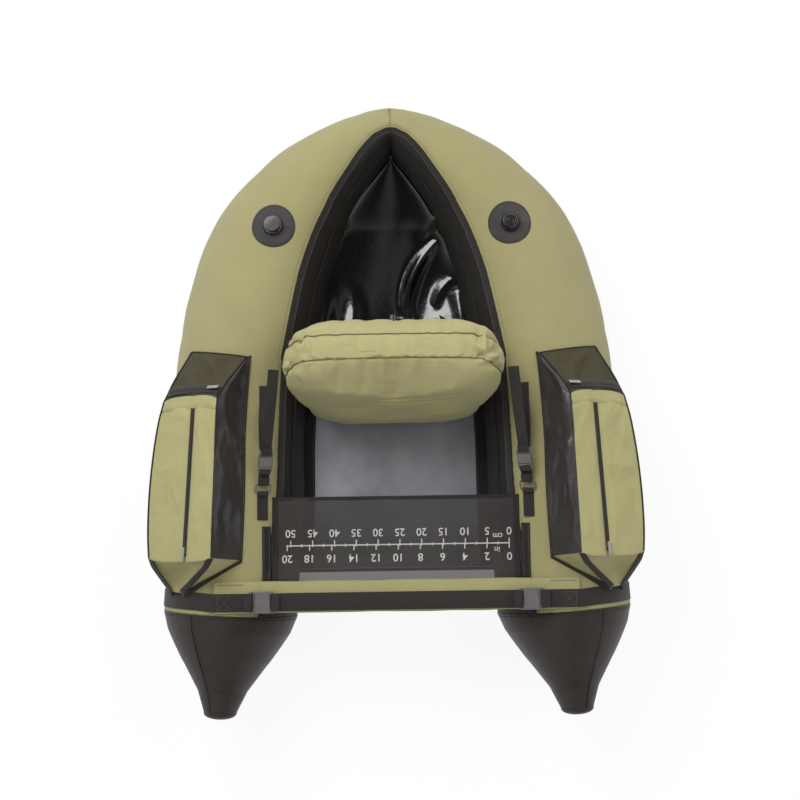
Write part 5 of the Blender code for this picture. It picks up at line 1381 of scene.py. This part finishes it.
def outward_of(normal):
    """The same normals, turned to the side that faces up."""
    return normal * np.sign(normal[:, 2:])


def edge_fade(count):
    share = np.linspace(0, 1, count)
    return bend(0, 0.12, share) * bend(1, 0.88, share)


def across_of(path, out):
    """Unit directions across a path that lie square to its direction out."""
    return unit(np.cross(np.gradient(path, axis=0), out))


def strip(path, across, width):
    share = np.linspace(-0.5, 0.5, 5)[None, :, None]
    return path[:, None, :] + across[:, None, :] * width * share


def pocket_cloth(k, name, points, s_values, shares):
    """Height of a panel's folds over its flat shape."""
    swell, rough = POCKET_FOLDS[name]
    along, over = (np.linspace(0, 1, len(values)) for values in (s_values, shares))
    along, over = along[:, None], over[None, :]
    fade = edge_fade(len(s_values))[:, None] * edge_fade(len(shares))[None, :]
    belly = np.sin(np.pi * along) * np.sin(np.pi * over)
    slant = points @ np.array([[1.0, 0.5, 0], [-0.4, 0.7, 0], [0, 0, 1]])
    rumple = crumple(slant, 0.085, 80 + k) + 0.45 * crumple(slant, 0.032, 82 + k) - 1.0
    lift = swell * belly + fade * rough * rumple
    if name == "pocket_top":
        near_zip = np.abs(shares - ZIP_SHARE)[None, :]
        lift = lift * bend(0.03, 0.15, near_zip) - 0.0010 * (1 - bend(0.03, 0.06, near_zip))
        lift = lift - 0.0022 * np.exp(-((np.abs(s_values - 0.070)[:, None] / 0.006) ** 2))
    if name == "pocket_rear_net":
        waves = 1.6 * (along + over) + 0.3 * ripple(points, 0.08, 84 + k)
        lift = lift + 0.0055 * belly * np.sin(2 * np.pi * waves)
    if name == "pocket_inner_side":
        roll = np.sin(np.pi * np.clip(-shares / 0.40, 0, 1))[None, :]
        lift = lift + fade * roll * (0.0050 + 0.0040 * ripple(slant, 0.045, 86 + k))
    return lift


# How far each panel of the pocket swells in its middle, and how deep its creases are.
POCKET_FOLDS = {
    "pocket_top": (0.0050, 0.0085),
    "pocket_front_gusset": (-0.014, 0.0080),
    "pocket_rear_net": (-0.005, 0.0090),
    "pocket_inner_side": (-0.003, 0.0130),
    "pocket_inner_toe": (-0.004, 0.0030),
    "pocket_outer_side": (0.004, 0.0050),
}


def make_pocket(k, tag, mirror):
    # The pockets' lighter khaki and their grey sides are painted light.
    cloth, black = (lit_pocket_polyester, "tube_cloth"), (black_polyester, "black_cloth")
    net, side = (pocket_net, "mesh_cloth"), (pocket_sheen_tarpaulin, "deck_tarpaulin")
    for name, first, last, rows, start, columns, (finish, slot), stands_for in (
        ("pocket_top", 0, 1, 130, 0, 70, cloth, [f"pocket_{tag}"]),
        ("pocket_front_gusset", 1, 2, 50, 0, 50, cloth, ()),
        ("pocket_rear_net", -1, 0, 50, 0, 60, net, [f"pocket_mesh_{tag}"]),
        ("pocket_inner_side", -1, 1, 150, -1, 60, side, ()),
        ("pocket_inner_toe", 1, 2, 50, -1, 40, cloth, ()),
        ("pocket_outer_side", -1, 2, 170, 1, 60, side, ()),
    ):
        s_values, shares = np.linspace(first, last, rows), np.linspace(start, start + 1, columns)
        points, normal = pocket_grid(s_values, shares)
        points = points + normal * pocket_cloth(k, name, points, s_values, shares)[..., None]
        mesh = surface(name, points[:, ::-1], mirror)
        piece(f"{name}_{tag}", mesh, finish, slot, "hull", stands_for, 0.0010)

    def piping(name, s_values, shares, radius, finish):
        path = pocket_line(s_values, shares) * (mirror, 1, 1)
        piece(f"{name}_{tag}", cord_mesh(name, path, radius), *finish)

    piping("pocket_outer_piping", np.linspace(-1, 2, 120), 1.0, 0.0024, black)
    piping("pocket_inner_piping", np.linspace(-1, 0, 40), 0.0, 0.0020, black)
    piping("pocket_foot_piping", np.linspace(-1, 1, 90), -1.0, 0.0022, black)
    piping("pocket_outer_foot_piping", np.linspace(-1, 2, 120), 2.0, 0.0022, black)
    for name, share in (
        ("pocket_toe_binding", 0.0),
        ("pocket_toe_foot_binding", -1.0),
        ("pocket_toe_outer_binding", 0.955),
    ):
        points, normal = pocket_grid(np.linspace(1.0, 1.97, 40), share + np.array([-0.04, 0, 0.04]))
        outs = outward_of(normal[:, 1])
        band = strip(points[:, 1] + outs * 0.0030, across_of(points[:, 1], outs), 0.0135)
        mesh = surface(name, band, mirror)
        piece(f"{name}_{tag}", mesh, black_polyester, "black_cloth", wall=0.0016)
    points, normal = pocket_grid(np.linspace(-0.95, 1, 90), [-1.0, -0.96])
    outs = outward_of(normal[:, 1])
    path = points[:, 1] + outs * 0.0026
    stitches(f"pocket_foot_stitching_{tag}", path, outs, pale_thread, "black_cloth", mirror=mirror)
    piping("pocket_rear_piping", -1.0, np.linspace(0, 1, 30), 0.0018, black)
    piping("pocket_front_piping", 1.0, np.linspace(0, 1, 30), 0.0018, cloth)
    up = np.array([0.45, 0, 0.89])
    path = pocket_line(0.077, np.linspace(0.02, 0.98, 40)) + up * 0.0006
    stitches(f"pocket_seam_stitching_{tag}", path, up, khaki_thread, "tube_cloth", mirror=mirror)


def make_zip(name, tag, mirror, path, out, width, stands_for):
    """A nylon zip: its woven tape and the row of coil teeth."""
    mesh = surface(name, strip(path, across_of(path, out), width), mirror)
    piece(f"{name}_tape_{tag}", mesh, webbing_weave, "webbing", "hull", [stands_for], 0.0006)
    line = on_line(path + out * 0.0001, out, ZIP_PITCH, 0.003)
    teeth = bar_item(0.0022, 0.0052, 0.0007, 0.8)
    repeat(f"{name}_teeth_{tag}", line, teeth, zip_coil, "black_cloth", "hull", mirror)


def make_zips(tag, mirror):
    (rear, across), (front, _) = (
        (inner + (outer - inner) * ZIP_SHARE, outer - inner)
        for inner, outer, *_ in map(top_corners, ZIP_ENDS)
    )
    path = rear + (front - rear) * np.linspace(0, 1, 60)[:, None]
    out = unit(np.cross(front - rear, unit(across)))
    out = np.broadcast_to(out * np.sign(out[2]), path.shape)
    make_zip("pocket_zip_line", tag, mirror, path + out * 0.0010, out, 0.0105, f"pocket_zip_{tag}")
    points, normal = pocket_grid([-0.16, NET_ZIP_PLACE, -0.12], np.linspace(0.02, 0.98, 50))
    out = outward_of(normal[1])
    make_zip("mesh_zip_line", tag, mirror, points[1] + out * 0.0020, out, 0.0235, f"mesh_zip_{tag}")


# Stage

CAMERA_DISTANCE = 3.0
CAMERA_TILT = math.radians(6.0)
CAMERA_ROLL = math.radians(0.85)
LOOK_AT = Vector((0.0135, 0.0225, 0.156))
FOCAL_SHARE = 1246 / 800
SENSOR = 36.0
LAMP_AIM = Vector((0, 0, 0.15))
# The sky's light on the object, and the streak that reflections show overhead: its strength and its place.
SKY_STRENGTH = 0.42
GLOSS_STREAK = 0.24
STREAK_ASIDE = -0.08
FLOOR_REACH = 12.0
FLOOR_GAP = 0.0008
FLOOR_GLOW = 1.06
FLOOR_GLOW_SHARE = 0.85


def make_camera():
    data = bpy.data.cameras.new("camera")
    data.sensor_width = SENSOR
    data.lens = SENSOR * FOCAL_SHARE
    made = new_object("camera", data)
    back = Vector((0, -math.sin(CAMERA_TILT), math.cos(CAMERA_TILT)))
    up = Vector((0, math.cos(CAMERA_TILT), math.sin(CAMERA_TILT)))
    stand = Matrix.Translation(LOOK_AT + back * CAMERA_DISTANCE)
    turn = Matrix((up.cross(back), up, back)).transposed().to_4x4()
    made.matrix_world = stand @ turn @ Matrix.Rotation(-CAMERA_ROLL, 4, "Z")
    bpy.context.scene.camera = made


def lamp(name, place, size, power, reflected):
    """A square lamp that shines on the middle of the tube."""
    data = bpy.data.lights.new(name, "AREA")
    data.shape = "SQUARE"
    data.size = size
    data.energy = power
    made = new_object(name, data)
    made.location = place
    made.visible_glossy = reflected
    made.rotation_mode = "QUATERNION"
    made.rotation_quaternion = (Vector(place) - LAMP_AIM).to_track_quat("Z", "Y")


def make_sky():
    """A plain sky: white to the camera, and in reflections darker overhead with a pale streak lengthwise."""
    world = bpy.data.worlds.new("studio")
    bpy.context.scene.world = world
    world.use_nodes = True
    tree = world.node_tree
    sky = tree.nodes["Background"]
    sky.inputs["Color"].default_value = (1, 1, 1, 1)
    way = add(tree, "SeparateXYZ", {0: add(tree, "TexCoord").outputs["Generated"]}).outputs
    fall = {"Value": way["Z"], "From Min": 0.25, "From Max": 0.9, "To Min": 0.9, "To Max": 0.05}
    dim = add(tree, "MapRange", fall, interpolation_type="SMOOTHSTEP").outputs[0]
    aside = add(tree, "Math", {0: way["X"], 1: STREAK_ASIDE}, operation="ADD").outputs[0]
    aside = add(tree, "Math", {0: aside}, operation="ABSOLUTE").outputs[0]
    fall = {"Value": aside, "From Min": 0.02, "From Max": 0.16, "To Min": GLOSS_STREAK, "To Max": 0.0}
    streak = add(tree, "MapRange", fall, interpolation_type="SMOOTHSTEP").outputs[0]
    high = add(tree, "Math", {0: way["Z"], 1: 0.0}, operation="MAXIMUM").outputs[0]
    lit = add(tree, "Math", {0: streak, 1: high}, operation="MULTIPLY").outputs[0]
    mirrored = add(tree, "Math", {0: dim, 1: lit}, operation="ADD").outputs[0]
    rays = add(tree, "LightPath").outputs
    strength = SKY_STRENGTH
    for ray, there in (("Is Glossy Ray", mirrored), ("Is Camera Ray", 1.0)):
        strength = add(tree, "Mix", {"Factor": rays[ray], "A": strength, "B": there}).outputs["Result"]
    tree.links.new(strength, sky.inputs["Strength"])


def make_stage_floor():
    """A white floor that keeps the object's shadow. Reflections show it as white as the camera sees it."""
    mesh = bpy.data.meshes.new("floor")
    corners = [(x * FLOOR_REACH, y * FLOOR_REACH, 0) for x, y in ((-1, -1), (1, -1), (1, 1), (-1, 1))]
    mesh.from_pydata(corners, [], [(0, 1, 2, 3)])
    floor = new_object("floor", mesh)
    floor.location.z = -FLOOR_GAP
    made, tree, shader = start_finish("white_floor", 0.9)
    shader.inputs["Base Color"].default_value = (0.82, 0.82, 0.82, 1)
    glow = add(tree, "Emission", {"Color": (1, 1, 1, 1), "Strength": FLOOR_GLOW})
    rays = add(tree, "LightPath").outputs
    sharp = add(tree, "Math", {0: rays["Is Glossy Ray"], 1: rays["Is Transmission Ray"]}, operation="MAXIMUM")
    seen = add(tree, "Math", {0: rays["Is Camera Ray"], 1: sharp.outputs[0]}, operation="MAXIMUM")
    share = add(tree, "Math", {0: seen.outputs[0], 1: FLOOR_GLOW_SHARE}, operation="MULTIPLY")
    both = add(tree, "MixShader", {"Fac": share.outputs[0], 1: shader.outputs["BSDF"], 2: glow.outputs[0]})
    tree.links.new(both.outputs[0], tree.nodes["Material Output"].inputs["Surface"])
    mesh.materials.append(made)


def make_stage():
    make_sky()
    make_stage_floor()
    lamp("key", (-1.3, 1.7, 3.0), 1.9, 72, reflected=True)
    lamp("fill", (2.4, 0.5, 2.6), 2.2, 26, reflected=False)
    bpy.context.scene.view_settings.view_transform = "Standard"


make_camera()
dress_solids()
make_skins()
make_seam_strip()
make_walls()
make_cones()
make_seat()
make_deck()
make_sleeve()
make_apron()
make_ruler()
make_webs()
make_valves()
make_cushion()
for number, (tag, mirror) in enumerate(SIDES):
    make_pocket(number, tag, mirror)
    make_zips(tag, mirror)
make_stage()
